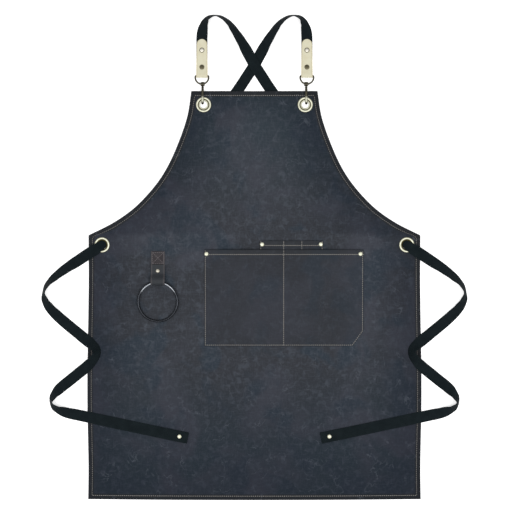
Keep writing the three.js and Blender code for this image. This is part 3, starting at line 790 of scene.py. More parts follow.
def tanned_leather(name, colour, worn, back, grain, gloss):
    """Tanned leather with a pressed grain, cut into a strip."""
    # Fine pebbled grain with a soft gloss, patchy in tone, and a rubbed edge of another tone. Where the
    # strip is folded over, its back shows.
    finish, tree, place = start_finish(name)
    mottle = add_node(tree, "TexNoise", {"Vector": place, "Scale": scale_of(9), "Detail": 4.0})
    patch = add_node(tree, "MapRange", {"Value": mottle, "From Min": 0.4, "From Max": 0.75, "To Max": 0.4})
    # On leather this attribute only marks where the strip's back shows.
    folded = add_node(tree, "Attribute", {}, attribute_name="painted_light_and_back")
    edge = add_node(tree, "Attribute", {}, attribute_name="hem")
    shade = colour
    for share, over in ((patch, worn), (folded, back), (edge, worn)):
        shade = add_node(tree, "Mix", {SHARE: share, BELOW: shade, OVER: over}, data_type="RGBA")
    pores = {"Vector": place, "Scale": scale_of(grain)}
    pebbles = add_node(tree, "TexVoronoi", pores, feature="SMOOTH_F1")
    return end_finish(finish, {
        "Base Color": shade,
        "Roughness": add_node(tree, "MapRange", {"Value": mottle, "To Min": 0.38, "To Max": 0.62}),
        "Normal": add_node(tree, "Bump", {"Height": pebbles, "Distance": 0.25 * MM, "Strength": 0.5}),
        "Specular IOR Level": gloss,
    })


def worked_metal(name, colour, tarnish, highlight_colour, rough, spot):
    """Metal that was stamped or cast, then plated and handled."""
    # Clean metal with faint scratches, duller spots of tarnish, near-black patina in grooves that also
    # stands in for their shade, and a painted highlight in a brighter colour on the towel ring and the
    # hooks.
    finish, tree, place = start_finish(name)
    spots = add_node(tree, "TexNoise", {"Vector": place, "Scale": scale_of(spot), "Detail": 3.0})
    dull = add_node(tree, "MapRange", {"Value": spots, "From Min": 0.45, "From Max": 0.8, "To Max": 0.7})
    patina_and_shade = add_node(tree, "Attribute", {}, attribute_name="patina_and_shade")
    # The rubbed attribute holds a painted highlight, on the towel ring and the noses of the hooks.
    rubbed = add_node(tree, "Attribute", {}, attribute_name="rubbed")
    dark = bpy.context.scene.apron_trim.patina_and_shade_colour
    shade = colour
    for share, over in ((dull, tarnish), (patina_and_shade, dark), (rubbed, highlight_colour)):
        shade = add_node(tree, "Mix", {SHARE: share, BELOW: shade, OVER: over}, data_type="RGBA")
    scratches = add_node(tree, "TexNoise", {"Vector": place, "Scale": scale_of(0.7), "Detail": 2.0})
    return end_finish(finish, {
        "Base Color": shade,
        "Metallic": 1.0,
        "Roughness": add_node(tree, "MapRange", {"Value": dull, "To Min": rough, "To Max": rough + 0.2}),
        "Normal": add_node(tree, "Bump", {"Height": scratches, "Distance": 0.05 * MM, "Strength": 0.3}),
    })


def brass():
    """Stamped brass with a pale polished plating."""
    looks = bpy.context.scene.apron_trim
    shades = (looks.brass_colour, looks.brass_tarnish_colour, looks.brass_colour)
    return worked_metal("pale_brass_stamped_polished", *shades, rough=0.5, spot=6)


def nickel():
    """Stamped brass with an aged nickel plating."""
    looks = bpy.context.scene.apron_trim
    shades = (looks.nickel_colour, looks.nickel_worn_colour, looks.brass_colour)
    return worked_metal("aged_nickel_stamped_plated", *shades, rough=0.42, spot=4)


def bronze():
    """Cast zinc with an antique bronze plating."""
    looks = bpy.context.scene.apron_trim
    # The brass colour is the hooks' painted highlight.
    shades = (looks.bronze_colour, looks.bronze_rubbed_colour, looks.brass_colour)
    return worked_metal("antique_bronze_cast_plated", *shades, rough=0.3, spot=3)


def gunmetal():
    """Bent steel wire with a dark gunmetal plating."""
    looks = bpy.context.scene.apron_trim
    shades = (looks.gunmetal_colour, looks.gunmetal_rubbed_colour, looks.ring_highlight_colour)
    return worked_metal("gunmetal_steel_wire_plated", *shades, rough=0.3, spot=8)


def studio_floor():
    """Matt white acrylic, lit from below."""
    # A plain pale light table, so that shadows stay faint.
    looks = bpy.context.scene.apron_stage
    finish, tree, place = start_finish("matt_white_acrylic_lit")
    haze = add_node(tree, "TexNoise", {"Vector": place, "Scale": scale_of(3), "Detail": 2.0})
    return end_finish(finish, {
        "Base Color": looks.floor_colour,
        "Roughness": 0.9,
        "Normal": add_node(tree, "Bump", {"Height": haze, "Distance": 0.02 * MM}),
        "Emission Color": looks.floor_colour,
        "Emission Strength": looks.floor_glow,
    })


# Panel


def lift(x, y):
    """Height of the panel's underside."""
    bib = BIB_LIFT * clamp((y - LIFT_FROM) / (LIFT_TO - LIFT_FROM))
    away = math.hypot(abs(x) - HOOK_X, y - HOOK_LIFT_Y)
    return SKIRT_LIFT + bib + HOOK_LIFT * fall(away, HOOK_FLAT, HOOK_REACH)


def front(x, y):
    """Height of the panel's front."""
    return lift(x, y) + CANVAS


def panel_half(y):
    """Half the width of the panel, along its skirt and its armholes."""
    if y > WAIST:
        return curved(ARMHOLE_Y, ARMHOLE_HALF, min(y, BIB_TOP))
    return curved(SKIRT_Y, SKIRT_HALF, max(y, SKIRT_HEM))


def sag(x, y):
    """How much lower the skirt's hem is in its middle."""
    return HEM_SAG * (1 - (x / HEM_HALF) ** 2) * clamp((SAG_FROM - y) / (SAG_FROM - SKIRT_HEM))


def edge_spread(y):
    """How much further an inset reaches along x than square to the panel's edge."""
    if y <= WAIST:
        return 1.0
    return math.hypot(1, (panel_half(y + 1) - panel_half(y - 1)) / 2)


PANEL_ROWS = (
    [SKIRT_HEM + step for step in EDGE_STEPS]
    + even(SKIRT_HEM + EDGE_STEPS[-1], WAIST, 64)[1:]
    + even(WAIST, BIB_TOP - EDGE_STEPS[-1], 40)[1:]
    + [BIB_TOP - step for step in reversed(EDGE_STEPS[:-1])]
)


def panel_x(column, y):
    """A column's place across the panel, closely spaced beside its edges."""
    half = panel_half(y)
    spread = edge_spread(y)
    from_right = PANEL_COLUMNS - column
    if column < EDGE_LAST:
        return EDGE_STEPS[column] * spread - half
    if from_right < EDGE_LAST:
        return half - EDGE_STEPS[from_right] * spread
    inner = half - EDGE_STEPS[-1] * spread
    return blend(-inner, inner, (column - EDGE_LAST) / PANEL_MIDDLE)


def panel_edge(column, row):
    """Distance of a point of the panel from its nearest edge."""
    return EDGE_STEPS[min(column, PANEL_COLUMNS - column, row, len(PANEL_ROWS) - 1 - row, EDGE_LAST)]


def panel_hem(column, row):
    """How grey the panel is in its doubled hem."""
    return HEM_GREY * fall(panel_edge(column, row), *HEM_GREYED)


def panel_painted_light(column, row):
    """How much painted light the panel has: most in its middle, with painted shade towards its edges, foot
    and top.
    """
    y = PANEL_ROWS[row]
    inward = (panel_half(y) - abs(panel_x(column, y))) / edge_spread(y)
    side = blend(SIDE_LIGHT_LEAST, 1, smooth(inward / SHADE_SIDE_REACH))
    foot = smooth((y - SKIRT_HEM + SHADE_OUTSIDE) / SHADE_FOOT_REACH)
    return side * foot * smooth((BIB_TOP - y + SHADE_OUTSIDE) / SHADE_TOP_REACH)


def sewn(edge, line, folded):
    """Rise of a sewn edge above plain cloth: rolled at its fold, plump, and drawn in along its stitches."""
    plump = smooth(edge / PLUMP_RISE) * fall(edge, folded - PLUMP_EASE, folded + PLUMP_EASE)
    return HEM_PLUMP * plump - marked(edge, HEM_FOLD) - marked(abs(edge - line), HEM_STITCHED)


def panel_point(column, row, side):
    """A point of the panel's back or front."""
    y = PANEL_ROWS[row]
    x = panel_x(column, y)
    edge = panel_edge(column, row)
    z = front(x, y) + sewn(edge, HEM_SEAM, HEM)
    if side < 0:
        z = lift(x, y) - CANVAS * fall(edge, *HEM_DOUBLED) + marked(edge, HEM_UNDER)
    return Vector((x, y - sag(x, y), z))


def hem_seams():
    """Right half of the hem's seams, each with the share of its thread that shows above the cloth."""
    low = SKIRT_HEM + HEM_SEAM
    high = BIB_TOP - BIB_SEAM
    places = [*even(low, SIDE_SEAM_TOP, 60), *even(ARMHOLE_SEAM_FOOT, high, 90)]
    side = [(panel_half(y) - HEM_SEAM * edge_spread(y), y) for y in places]
    foot = [(x, low) for x in even(0, side[0][0], 60)]
    top = [(x, high) for x in even(side[-1][0], 0, 40)]
    return (foot, 1.0), (side, SUNK_THREAD), (top, 1.0)


class APRON_OT_panel(bpy.types.Operator):
    """Makes the canvas panel with its hem and the hem's stitches"""

    bl_idname = "apron.panel"
    bl_label = "Canvas panel"

    def execute(self, context):
        radius = GROMMET_BARREL + GROMMET_ROOM
        holes = [(sign * x, y, radius) for x, y in (BIB_GROMMET, WAIST_GROMMET) for _, sign in SIDES]
        bm = cloth(
            PANEL_COLUMNS, len(PANEL_ROWS) - 1, panel_point, hem=panel_hem, painted_light_and_back=panel_painted_light, holes=holes
        )
        canvas = waxed_canvas("waxed_cotton_canvas_plain_weave", clouds=0.9, creases=1.0)
        panel = make_piece("canvas_panel", bm, canvas, "canvas", "apron_panel")
        stitches = bmesh.new()
        for _, sign in SIDES:
            for flat, share in hem_seams():
                path = [Vector((sign * x, y - sag(x, y), front(x, y) - STITCH_IN)) for x, y in flat]
                seam(stitches, path, share)
        thread = make_piece("hem_stitches", stitches, tan_thread(), "canvas")
        return {"FINISHED"}


# Pockets


def bay(edges, x):
    """The bay between sewn lines that x is in, and how far across it x is."""
    number = row_before(edges, x)
    return number, clamp((x - edges[number]) / (edges[number + 1] - edges[number]))


def pocket_gape(x, y):
    """How far the main pocket stands off the panel."""
    half, across = bay((POCKET_LEFT, POCKET_DIVIDER, POCKET_RIGHT), x)
    up = clamp((y - POCKET_BOTTOM) / (POCKET_TOP - POCKET_BOTTOM))
    return POCKET_GAPES[half] * math.sin(math.pi * across) ** GAPE_ROUND * up ** GAPE_RISE


def over_pens(x, y):
    """Rise of the main pocket over the pen pocket."""
    beside = max(PEN_DIVIDERS[0] - x, x - PEN_DIVIDERS[-1])
    return (CANVAS + GAP) * fall(beside, *COVER_BESIDE) * fall(PEN_BOTTOM - y, *COVER_BELOW)


def pocket_low(x, y):
    """Height of the main pocket's back."""
    return front(x, y) + GAP + over_pens(x, y) + pocket_gape(x, y)


def pocket_right(y):
    """The main pocket's right edge, with its lower corner cut off."""
    return POCKET_RIGHT - CORNER_WIDE * clamp((POCKET_BOTTOM + CORNER_HIGH - y) / CORNER_HIGH)


def pocket_rows(bottom, steps, top, count):
    """Rows of a pocket, close together along its foot and its mouth."""
    foot = [bottom + step for step in steps]
    return foot + even(foot[-1], top - MOUTH_BAND, count)[1:] + [top - step for step in MOUTH_STEPS]


POCKET_ROWS = pocket_rows(POCKET_BOTTOM, SEW_STEPS, POCKET_TOP, 34)
PEN_ROWS = pocket_rows(PEN_BOTTOM, PEN_FOOT_STEPS, PEN_TOP, 16)


def mouth_hem(below):
    """How far a point is in the doubled hem of a pocket's mouth, at a distance below the mouth."""
    return fall(below, *MOUTH_DOUBLED)


def mouth_grey(rows):
    """Gives the function for how grey a pocket of these rows is in the hem of its mouth."""
    return lambda column, row: MOUTH_GREY * fall(rows[-1] - rows[row], *MOUTH_GREYED)


def between_seams(low, high, column):
    """A column's place between two sewn lines, closely spaced beside both."""
    if column < SEW_LAST:
        return low + SEW_STEPS[column]
    if HALF_POCKET - column < SEW_LAST:
        return high - SEW_STEPS[HALF_POCKET - column]
    return blend(low + SEW_STEPS[-1], high - SEW_STEPS[-1], (column - SEW_LAST) / POCKET_MIDDLE)


def pocket_x(column, y):
    """A column's place across the main pocket."""
    if column <= HALF_POCKET:
        return between_seams(POCKET_LEFT, POCKET_DIVIDER, column)
    return between_seams(POCKET_DIVIDER, pocket_right(y), column - HALF_POCKET)


def pocket_point(column, row, side):
    """A point of the main pocket's back or front."""
    y = POCKET_ROWS[row]
    x = pocket_x(column, y)
    low = pocket_low(x, y)
    if side < 0:
        return Vector((x, y, low))
    edge = min(x - POCKET_LEFT, pocket_right(y) - x, y - POCKET_BOTTOM)
    below = POCKET_TOP - y
    thick = CANVAS + CANVAS * mouth_hem(below) + sewn(edge, SIDE_SEAM, SEW_STEPS[-1])
    thick -= marked(abs(below - MOUTH_SEAM), MOUTH_STITCHED) + marked(below, MOUTH_FOLD)
    thick -= marked(abs(x - POCKET_DIVIDER), DIVIDER_STITCHED)
    return Vector((x, y, low + max(CANVAS_LEAST, thick)))


def pocket_front(x, y):
    """Height of a stitch on the main pocket."""
    return pocket_low(x, y) + CANVAS + CANVAS * mouth_hem(POCKET_TOP - y) - STITCH_IN


def pen_low(x, y):
    """Height of the pen pocket's back."""
    _, across = bay(PEN_DIVIDERS, x)
    up = clamp((y - PEN_BOTTOM) / (PEN_TOP - PEN_BOTTOM))
    return front(x, y) + GAP + PEN_GAPE * math.sin(math.pi * across) * up


def pen_point(column, row, side):
    """A point of the pen pocket's back or front."""
    y = PEN_ROWS[row]
    slot = min(column // SLOT_COLUMNS, len(PEN_DIVIDERS) - 2)
    share = column / SLOT_COLUMNS - slot
    crowded = blend(share, smooth(share), SLOT_CROWDING)
    x = blend(PEN_DIVIDERS[slot], PEN_DIVIDERS[slot + 1], crowded)
    low = pen_low(x, y)
    if side < 0:
        return Vector((x, y, low))
    below = PEN_TOP - y
    thick = CANVAS + PEN_HEM * mouth_hem(below)
    thick -= marked(abs(below - MOUTH_SEAM), PEN_STITCHED) + marked(below, PEN_FOLD)
    thick -= marked(min(x - PEN_DIVIDERS[0], PEN_DIVIDERS[-1] - x), PEN_END)
    return Vector((x, y, low + max(CANVAS_LEAST, thick)))


def pen_front(x, y):
    """Height of a stitch on the pen pocket."""
    return pen_low(x, y) + CANVAS + PEN_HEM * mouth_hem(PEN_TOP - y) - STITCH_IN


def pocket_seams():
    """Stitch paths of the main pocket: round its sides and foot, along its mouth, and down its divider."""
    left = POCKET_LEFT + SIDE_SEAM
    right = POCKET_RIGHT - SIDE_SEAM
    bottom = POCKET_BOTTOM + SIDE_SEAM
    start = POCKET_TOP - SEAM_END
    line = POCKET_TOP - MOUTH_SEAM
    corner = [(pocket_right(bottom) - SIDE_SEAM, bottom), (right, POCKET_BOTTOM + CORNER_HIGH)]
    yield run([(left, start), (left, bottom), *corner, (right, start)], pocket_front)
    mouth = [(POCKET_LEFT + SEAM_END, line), (POCKET_RIGHT - SEAM_END, line)]
    yield run(mouth, pocket_front, 120)
    yield run([(POCKET_DIVIDER, start), (POCKET_DIVIDER, bottom)], pocket_front)


def pen_seams():
    """Stitch paths of the pen pocket: down its ends and dividers, and along its mouth."""
    ends = (PEN_DIVIDERS[0] + SIDE_SEAM, *PEN_DIVIDERS[1:-1], PEN_DIVIDERS[-1] - SIDE_SEAM)
    for x in ends:
        yield run([(x, PEN_SEAM_TOP), (x, PEN_SEAM_FOOT)], pen_front)
    line = PEN_TOP - MOUTH_SEAM
    yield run([(ends[0], line), (ends[-1], line)], pen_front, 80)


def make_pocket(name, columns, rows, point, seams):
    """Makes a pocket's cloth and stitches."""
    canvas = waxed_canvas("waxed_cotton_canvas_pocket_cut", clouds=0.5, creases=0.45)
    # A pocket takes an even level of the canvas's painted shade.
    bm = cloth(columns, len(rows) - 1, point, hem=mouth_grey(rows), painted_light_and_back=lambda *spot: POCKET_LIGHT_LEVEL)
    pocket = make_piece(f"{name}_cloth", bm, canvas, "canvas", name)
    stitches = bmesh.new()
    for path in seams:
        seam(stitches, path)
    thread = make_piece(f"{name}_stitches", stitches, tan_thread(), "canvas")


class APRON_OT_pockets(bpy.types.Operator):
    """Makes the main pocket and the pen pocket behind it, with their stitches"""

    bl_idname = "apron.pockets"
    bl_label = "Pockets"

    def execute(self, context):
        make_pocket(
            "main_pocket",
            2 * HALF_POCKET,
            POCKET_ROWS,
            pocket_point,
            pocket_seams(),
        )
        make_pocket(
            "pen_pocket",
            (len(PEN_DIVIDERS) - 1) * SLOT_COLUMNS,
            PEN_ROWS,
            pen_point,
            pen_seams(),
        )
        return {"FINISHED"}


# Straps


def strap_mesh(drop):
    """A ribbon of webbing along its route, standing on edge at the bends and pleated in the grommet.

    drop lowers it where it crosses under the other strap.
    """
    table = {key: [getattr(row, key) for row in STRAP] for key in StrapRow._fields}
    for row in CROSSING_ROWS:
        table["rests"][row] -= drop
    reaches = [0.0]
    for before, after in zip(STRAP, STRAP[1:]):
        reaches.append(reaches[-1] + math.hypot(after.x - before.x, after.y - before.y))

    def centre(reach):
        roll = math.radians(eased(reaches, table["roll"], reach))
        wide = eased(reaches, table["wide"], reach)
        stand = abs(math.sin(roll)) * wide / 2 + math.cos(roll) * WEBBING / 2
        z = eased(reaches, table["rests"], reach) + stand
        at = Vector((curved(reaches, table["x"], reach), curved(reaches, table["y"], reach), z))
        return at, roll, wide

    stations = even(0, reaches[-1], math.ceil(reaches[-1] / STRAP_STEP))
    up = Vector((0, 0, 1))
    frames = []
    for reach in stations:
        at, roll, wide = centre(reach)
        heading = centre(min(reach + 1, reaches[-1]))[0] - centre(max(reach - 1, 0))[0]
        left = up.cross(heading).normalized()
        across = left * math.cos(roll) + up * math.sin(roll)
        face = up * math.cos(roll) - left * math.sin(roll)
        frames.append((at, across, face, wide))

    def point(column, row, side):
        at, across, face, wide = frames[row]
        share = STRAP_ACROSS[column]
        edge = thinned(share, STRAP_EDGE)
        pleat = PLEAT * (1 - wide / WEBBING_WIDTH) * (1 + math.cos(PLEATS * math.pi * share))
        return at + across * (share * wide / 2) + face * (side * edge * WEBBING / 2 + pleat)

    def weave(column, row):
        return (stations[row] * MM, STRAP_ACROSS[column] * WEBBING_WIDTH / 2 * MM)

    return cloth(len(STRAP_ACROSS) - 1, len(stations) - 1, point, weave=weave), reaches[-1]


class APRON_OT_straps(bpy.types.Operator):
    """Makes the two webbing straps, from the tabs over the crossing and the waist to the tie ends"""

    bl_idname = "apron.straps"
    bl_label = "Straps"

    def execute(self, context):
        webbing = ribbed_webbing()
        for (side, sign), drop in zip(SIDES, (0.0, UNDER_STRAP_DROP)):
            bm, length = strap_mesh(drop)
            bmesh.ops.scale(bm, vec=(-sign, 1, 1), verts=bm.verts)
            strap = make_piece(f"webbing_{side}", bm, webbing, "webbing", f"strap_{side}")
        return {"FINISHED"}


# Leather strips


def strip_mesh(path, half, thick, x, turned_from=math.inf):
    """A strip of leather bent along a path of (y, z).

    half(i) gives its half width at a point of the path, and its back shows from the point turned_from on.
    """
    last = len(path) - 1
    frames = []
    for i, (y, z) in enumerate(path):
        before = path[max(0, i - 1)]
        after = path[min(last, i + 1)]
        heading = Vector((0, after[0] - before[0], after[1] - before[1])).normalized()
        frames.append((Vector((x, y, z)), Vector((0, -heading.z, heading.y))))

    def point(column, row, side):
        at, normal = frames[row]
        share = STRIP_ACROSS[column]
        edge = thinned(share, STRIP_EDGE)
        return at + Vector((share * half(row), 0, 0)) + normal * (side * edge * thick / 2)

    def rubbed(column, row):
        return marked(1 - abs(STRIP_ACROSS[column]), STRIP_RUBBED)

    def back_shows(column, row):
        return float(row >= turned_from)

    return cloth(len(STRIP_ACROSS) - 1, last, point, hem=rubbed, painted_light_and_back=back_shows)


def fold(y, z, radius):
    """Points round a rod, from its back by its far side to its front."""
    angles = even(-math.pi / 2, -math.pi * 1.5, FOLD_STEPS)
    return [(y + radius * math.cos(angle), z + radius * math.sin(angle)) for angle in angles]


def tab_path():
    """A tab's strip from its back end, round the bar of the D-ring, to its front end."""
    radius = D_WIRE + GAP + TAB_THICK / 2
    ends = [TAB_TOP - step for step in END_STEPS]
    straight = [*ends, *even(ends[-1], D_BAR_Y + TAB_BEND, 22)[1:]]

    def leg(bent, flat):
        """The back or the front, from its height beside the bar to its height at the end."""
        return [(y, blend(D_BAR_Z + bent, flat, smooth((y - D_BAR_Y) / TAB_NARROWS))) for y in straight]

    return [*leg(-radius, TAB_BACK), *fold(D_BAR_Y, D_BAR_Z, radius), *reversed(leg(radius, TAB_FRONT))]


class APRON_OT_tabs(bpy.types.Operator):
    """Makes the two pale leather tabs, folded round the D-rings"""

    bl_idname = "apron.tabs"
    bl_label = "Leather tabs"

    def execute(self, context):
        looks = context.scene.apron_trim
        shades = (looks.tab_colour, looks.tab_edge_colour, looks.tab_colour)
        leather = tanned_leather("pale_cowhide_pressed_grain", *shades, grain=1.1, gloss=0.4)
        path = tab_path()
        radius = TAB_WIDE / 2 - TAB_TAPER

        def half(i):
            short = TAB_TOP - path[i][0]
            rounded = math.sqrt(max(0.0, radius ** 2 - max(0.0, radius - short) ** 2))
            return rounded + TAB_TAPER * smooth((short - radius) / TAPER_LENGTH)

        flat = (TAB_WIDE * MM, path_length(path) * MM)
        for side, sign in SIDES:
            bm = strip_mesh(path, half, TAB_THICK, sign * TAB_X)
            tab = make_piece(f"leather_tab_{side}", bm, leather, "leather", f"tab_{side}")
        return {"FINISHED"}


# Metal


def grommet_mesh(throat):
    """A rolled flange with a groove, its barrel and the washer behind, about the panel's front at z = 0.

    A throat that is narrower than the hole has a bead of its own inside the groove.
    """
    top = GAP
    bottom = -CANVAS - GAP
    bead = [(throat + 0.3, top + 0.5, 1.0), (throat, top, 0.8)]
    if throat < GROMMET_HOLE:
        bead = [
            (GROMMET_HOLE, top + 0.8, 0.5),
            (throat + 1.3, top + 1.0, 0.15),
            (throat + 0.4, top + 0.7, 0.2),
            (throat, top, 0.4),
        ]
    # The third number of a point is how dark it is painted: dark patina, which in the groove also stands in
    # for the groove's shade.
    profile = [
        (GROMMET_BARREL, bottom),
        (GROMMET_BARREL, top),
        (GROMMET_OUTER - 0.4, top),
        (GROMMET_OUTER, top + 0.35, 0.9),
        (GROMMET_OUTER - 0.25, top + 1.0, 0.9),
        (GROMMET_OUTER - 1.1, top + 1.55, 0.2),
        (GROMMET_OUTER - 2.3, top + GROMMET_HIGH),
        (GROMMET_OUTER - 3.3, top + 1.65),
        (GROMMET_OUTER - 4.0, top + 1.2, 0.1),
        (GROMMET_OUTER - 4.5, top + 0.8, 1.0),
        (GROMMET_HOLE + 1.0, top + 0.7, 1.0),
        *bead,
        (throat, bottom - GROMMET_LOW * 0.5),
        (throat + 0.6, bottom - GROMMET_LOW),
        (GROMMET_BACK - 0.5, bottom - GROMMET_LOW),
        (GROMMET_BACK, bottom - 0.2),
        (GROMMET_BACK - 0.3, bottom),
    ]
    return turned(profile, 56, closed=True)


class APRON_OT_grommets(bpy.types.Operator):
    """Makes the four brass grommets"""

    bl_idname = "apron.grommets"
    bl_label = "Grommets"

    def execute(self, context):
        metal = brass()
        rows = (("bib", BIB_GROMMET, BIB_THROAT), ("waist", WAIST_GROMMET, GROMMET_HOLE))
        for row, (x, y), throat in rows:
            for side, sign in SIDES:
                bm = moved(grommet_mesh(throat), sign * x, y, front(x, y))
                node = f"grommet_{row}_{side}"
                make_piece(f"{node}_brass", bm, metal, "brass", node, crease=30)
        return {"FINISHED"}


def rivet_mesh(size, low, high):
    """A rivet through layers from low to high: a domed cap with a rim, a post and a flat back."""
    top = high + GAP
    bottom = low - GAP
    profile = [
        (0.0, bottom - size.low),
        (size.back - 0.3, bottom - size.low),
        (size.back, bottom - size.low * 0.6),
        (size.back, bottom),
        (size.post, bottom),
        (size.post, top),
        (size.cap - 0.3, top),
        (size.cap, top + 0.3),
        (size.cap, top + size.high * 0.35, size.rim),
        (size.cap * 0.95, top + size.high * 0.55, size.rim),
        (size.cap * 0.8, top + size.high * 0.75, size.rim),
        (size.cap * 0.62, top + size.high * 0.92, size.crown),
        (size.cap * 0.34, top + size.high, size.crown),
        (0.0, top + size.high, size.crown),
    ]
    return turned(profile, 28)


def rivet_places():
    """Each rivet's node, size, place, and the heights of the layers that it holds together."""
    for side, (x, y) in POCKET_RIVETS.items():
        inward = math.copysign(POCKET_RIVET_INWARD, POCKET_DIVIDER - x)
        high = front(x, y) + GAP + pocket_gape(x + inward, y) + 2 * CANVAS
        yield f"pocket_rivet_{side}", CLOTH_RIVET, x, y, lift(x, y), high
    for side, (x, y) in PEN_RIVETS.items():
        high = front(x, y) + GAP + PEN_RIVET_GAPE + CANVAS + PEN_HEM
        yield f"pen_pocket_rivet_{side}", CLOTH_RIVET, x, y, lift(x, y), high
    tie_low = STRAP[-1].rests
    tab_high = TAB_FRONT + TAB_THICK / 2
    for side, sign in SIDES:
        x, y = TIE_RIVET
        yield f"tie_rivet_{side}", CLOTH_RIVET, sign * x, y, tie_low, tie_low + WEBBING
        for place, (y, size) in TAB_RIVETS.items():
            yield f"tab_rivet_{place}_{side}", size, sign * TAB_X, y, TAB_RIVET_LOW, tab_high
    low = loop_back() - LOOP_THICK / 2
    yield "towel_loop_rivet", WORN_RIVET, LOOP_X, LOOP_RIVET, low, loop_front() + LOOP_THICK / 2


class APRON_OT_rivets(bpy.types.Operator):
    """Makes the rivets of the pockets, the tabs, the tie ends and the towel loop"""

    bl_idname = "apron.rivets"
    bl_label = "Rivets"

    def execute(self, context):
        for node, size, x, y, low, high in rivet_places():
            bm = moved(rivet_mesh(size, low, high), x, y, 0)
            metal = brass() if size is CLOTH_RIVET else nickel()
            make_piece(f"{node}_cap", bm, metal, "brass", node, crease=38)
        return {"FINISHED"}


def d_ring_mesh():
    """A D of round wire: a straight bar, two tight corners, short sides and a half-round bow."""
    bm = bmesh.new()
    straight = D_HALF - D_CORNER
    low = D_BAR_Y - D_CORNER
    bow = D_BOW_Y + D_HALF
    end = section(bm, 2 * D_WIRE, 2 * D_WIRE, Matrix.Translation((0, D_BAR_Y, D_BAR_Z)) @ QUARTER_Y)
    end = drawn(bm, end, dvec=(straight / 3, 0, 0), steps=3)
    end = drawn(bm, end, cent=(straight, low, 0), angle=-math.pi / 2, steps=6)
    end = drawn(bm, end, dvec=(0, bow - low, 0))
    end = drawn(bm, end, cent=(0, bow, 0), angle=-math.pi, steps=26)
    end = drawn(bm, end, dvec=(0, low - bow, 0))
    end = drawn(bm, end, cent=(-straight, low, 0), angle=-math.pi / 2, steps=6)
    drawn(bm, end, dvec=(straight / 3, 0, 0), steps=3)
    bmesh.ops.remove_doubles(bm, verts=bm.verts, dist=0.01)
    return bm


class APRON_OT_d_rings(bpy.types.Operator):
    """Makes the two D-rings of round bronze wire"""

    bl_idname = "apron.d_rings"
    bl_label = "D-rings"

    def execute(self, context):
        metal = bronze()
        for side, sign in SIDES:
            bm = moved(d_ring_mesh(), sign * TAB_X, 0, 0)
            make_piece(f"d_ring_wire_{side}", bm, metal, "bronze", f"d_ring_{side}")
        return {"FINISHED"}


def hook_painted_highlight(y):
    """How strong the painted highlight is on the hook's nose, where it goes in and out of the grommet."""
    up = y - HOOK_BOTTOM
    return rise(up, *NOSE_HIGHLIGHT_FROM) * fall(up, *NOSE_HIGHLIGHT_TO)


def snap_hook_mesh():
    """A long oval hook seen edge on, with a collar, its swivel eye and the gate's hinge pin."""
    bm = bmesh.new()
    bend = (HOOK_HIGH - HOOK_LOW - HOOK_BAR) / 2
    low = HOOK_LOW + HOOK_BAR / 2
    middle = low + bend
    near_end = HOOK_BOTTOM + HOOK_BAR / 2 + bend
    far_end = HOOK_TOP - HOOK_BAR / 2 - bend
    end = section(bm, HOOK_THICK, HOOK_BAR, Matrix.Translation((0, near_end, low)) @ QUARTER_X, 20)
    for start, stop in ((near_end, far_end), (far_end, near_end)):
        end = drawn(bm, end, dvec=(0, (stop - start) / 4, 0), steps=4)
        end = drawn(bm, end, cent=(0, stop, middle), axis=(1, 0, 0), angle=math.pi, steps=14)
    bmesh.ops.remove_doubles(bm, verts=bm.verts, dist=0.01)
    eye = ring(HOOK_EYE, HOOK_EYE_WIRE, HOOK_EYE_HALF, 16, 28)
    add_to(bm, moved(turned(COLLAR, 20), 0, HOOK_TOP - COLLAR_SUNK, D_BAR_Z, QUARTER_X.inverted()))
    add_to(bm, moved(eye, 0, D_BOW_Y, D_BAR_Z, QUARTER_Y))
    add_to(bm, moved(turned(PIN, 14), 0, far_end - PIN_FROM_BEND, HOOK_HIGH - HOOK_BAR / 2, QUARTER_Y))
    # A painted highlight on the top of the nose, in the brass colour.
    paint_highlight(bm, lambda at: hook_painted_highlight(at.y) if at.z > middle else 0.0)
    return bm


class APRON_OT_snap_hooks(bpy.types.Operator):
    """Makes the two bronze snap hooks between the D-rings and the bib's grommets"""

    bl_idname = "apron.snap_hooks"
    bl_label = "Snap hooks"

    def execute(self, context):
        metal = bronze()
        for side, sign in SIDES:
            bm = moved(snap_hook_mesh(), sign * HOOK_X, 0, 0)
            make_piece(f"hook_cast_{side}", bm, metal, "bronze", f"snap_hook_{side}")
        return {"FINISHED"}


# Towel loop and ring


def loop_on_panel(y):
    """Height of the middle of the loop's leather where it lies on the panel."""
    return front(LOOP_X, y) + GAP + LOOP_THICK / 2


def loop_back():
    """Height of the middle of the loop's back where its rivet goes through."""
    return loop_on_panel(LOOP_RIVET) + CLOTH_RIVET.low + 2 * GAP


def loop_front():
    """Height of the middle of the loop's front end."""
    return loop_back() + LOOP_THICK + GAP


def ring_axis():
    """Height of the line that the ring swings about."""
    return loop_back() + LOOP_INSIDE


def loop_path():
    """The loop's strip from its sewn top, down round the ring and back up to its riveted end."""
    radius = LOOP_INSIDE + LOOP_THICK / 2
    axis = ring_axis()
    places = (RING_TOP, LOOP_STRAIGHT, *reversed(LOOP_LEVEL), LOOP_SEWN, LOOP_TOP)
    on_panel = (loop_on_panel(LOOP_SEWN), loop_on_panel(LOOP_TOP))
    heights = (axis - radius, axis - radius, loop_back(), loop_back(), *on_panel)
    back = [(y, eased(places, heights, y)) for y in even(LOOP_TOP, LOOP_BEND, LOOP_BACK_POINTS)]
    places = (RING_TOP, LOOP_STRAIGHT, LOOP_FRONT_LEVEL, LOOP_END)
    heights = (axis + radius, axis + radius, loop_front(), loop_front())
    over = [(y, eased(places, heights, y)) for y in even(LOOP_BEND, LOOP_END, LOOP_FRONT_POINTS)]
    return [*back, *fold(RING_TOP, axis, radius), *over]


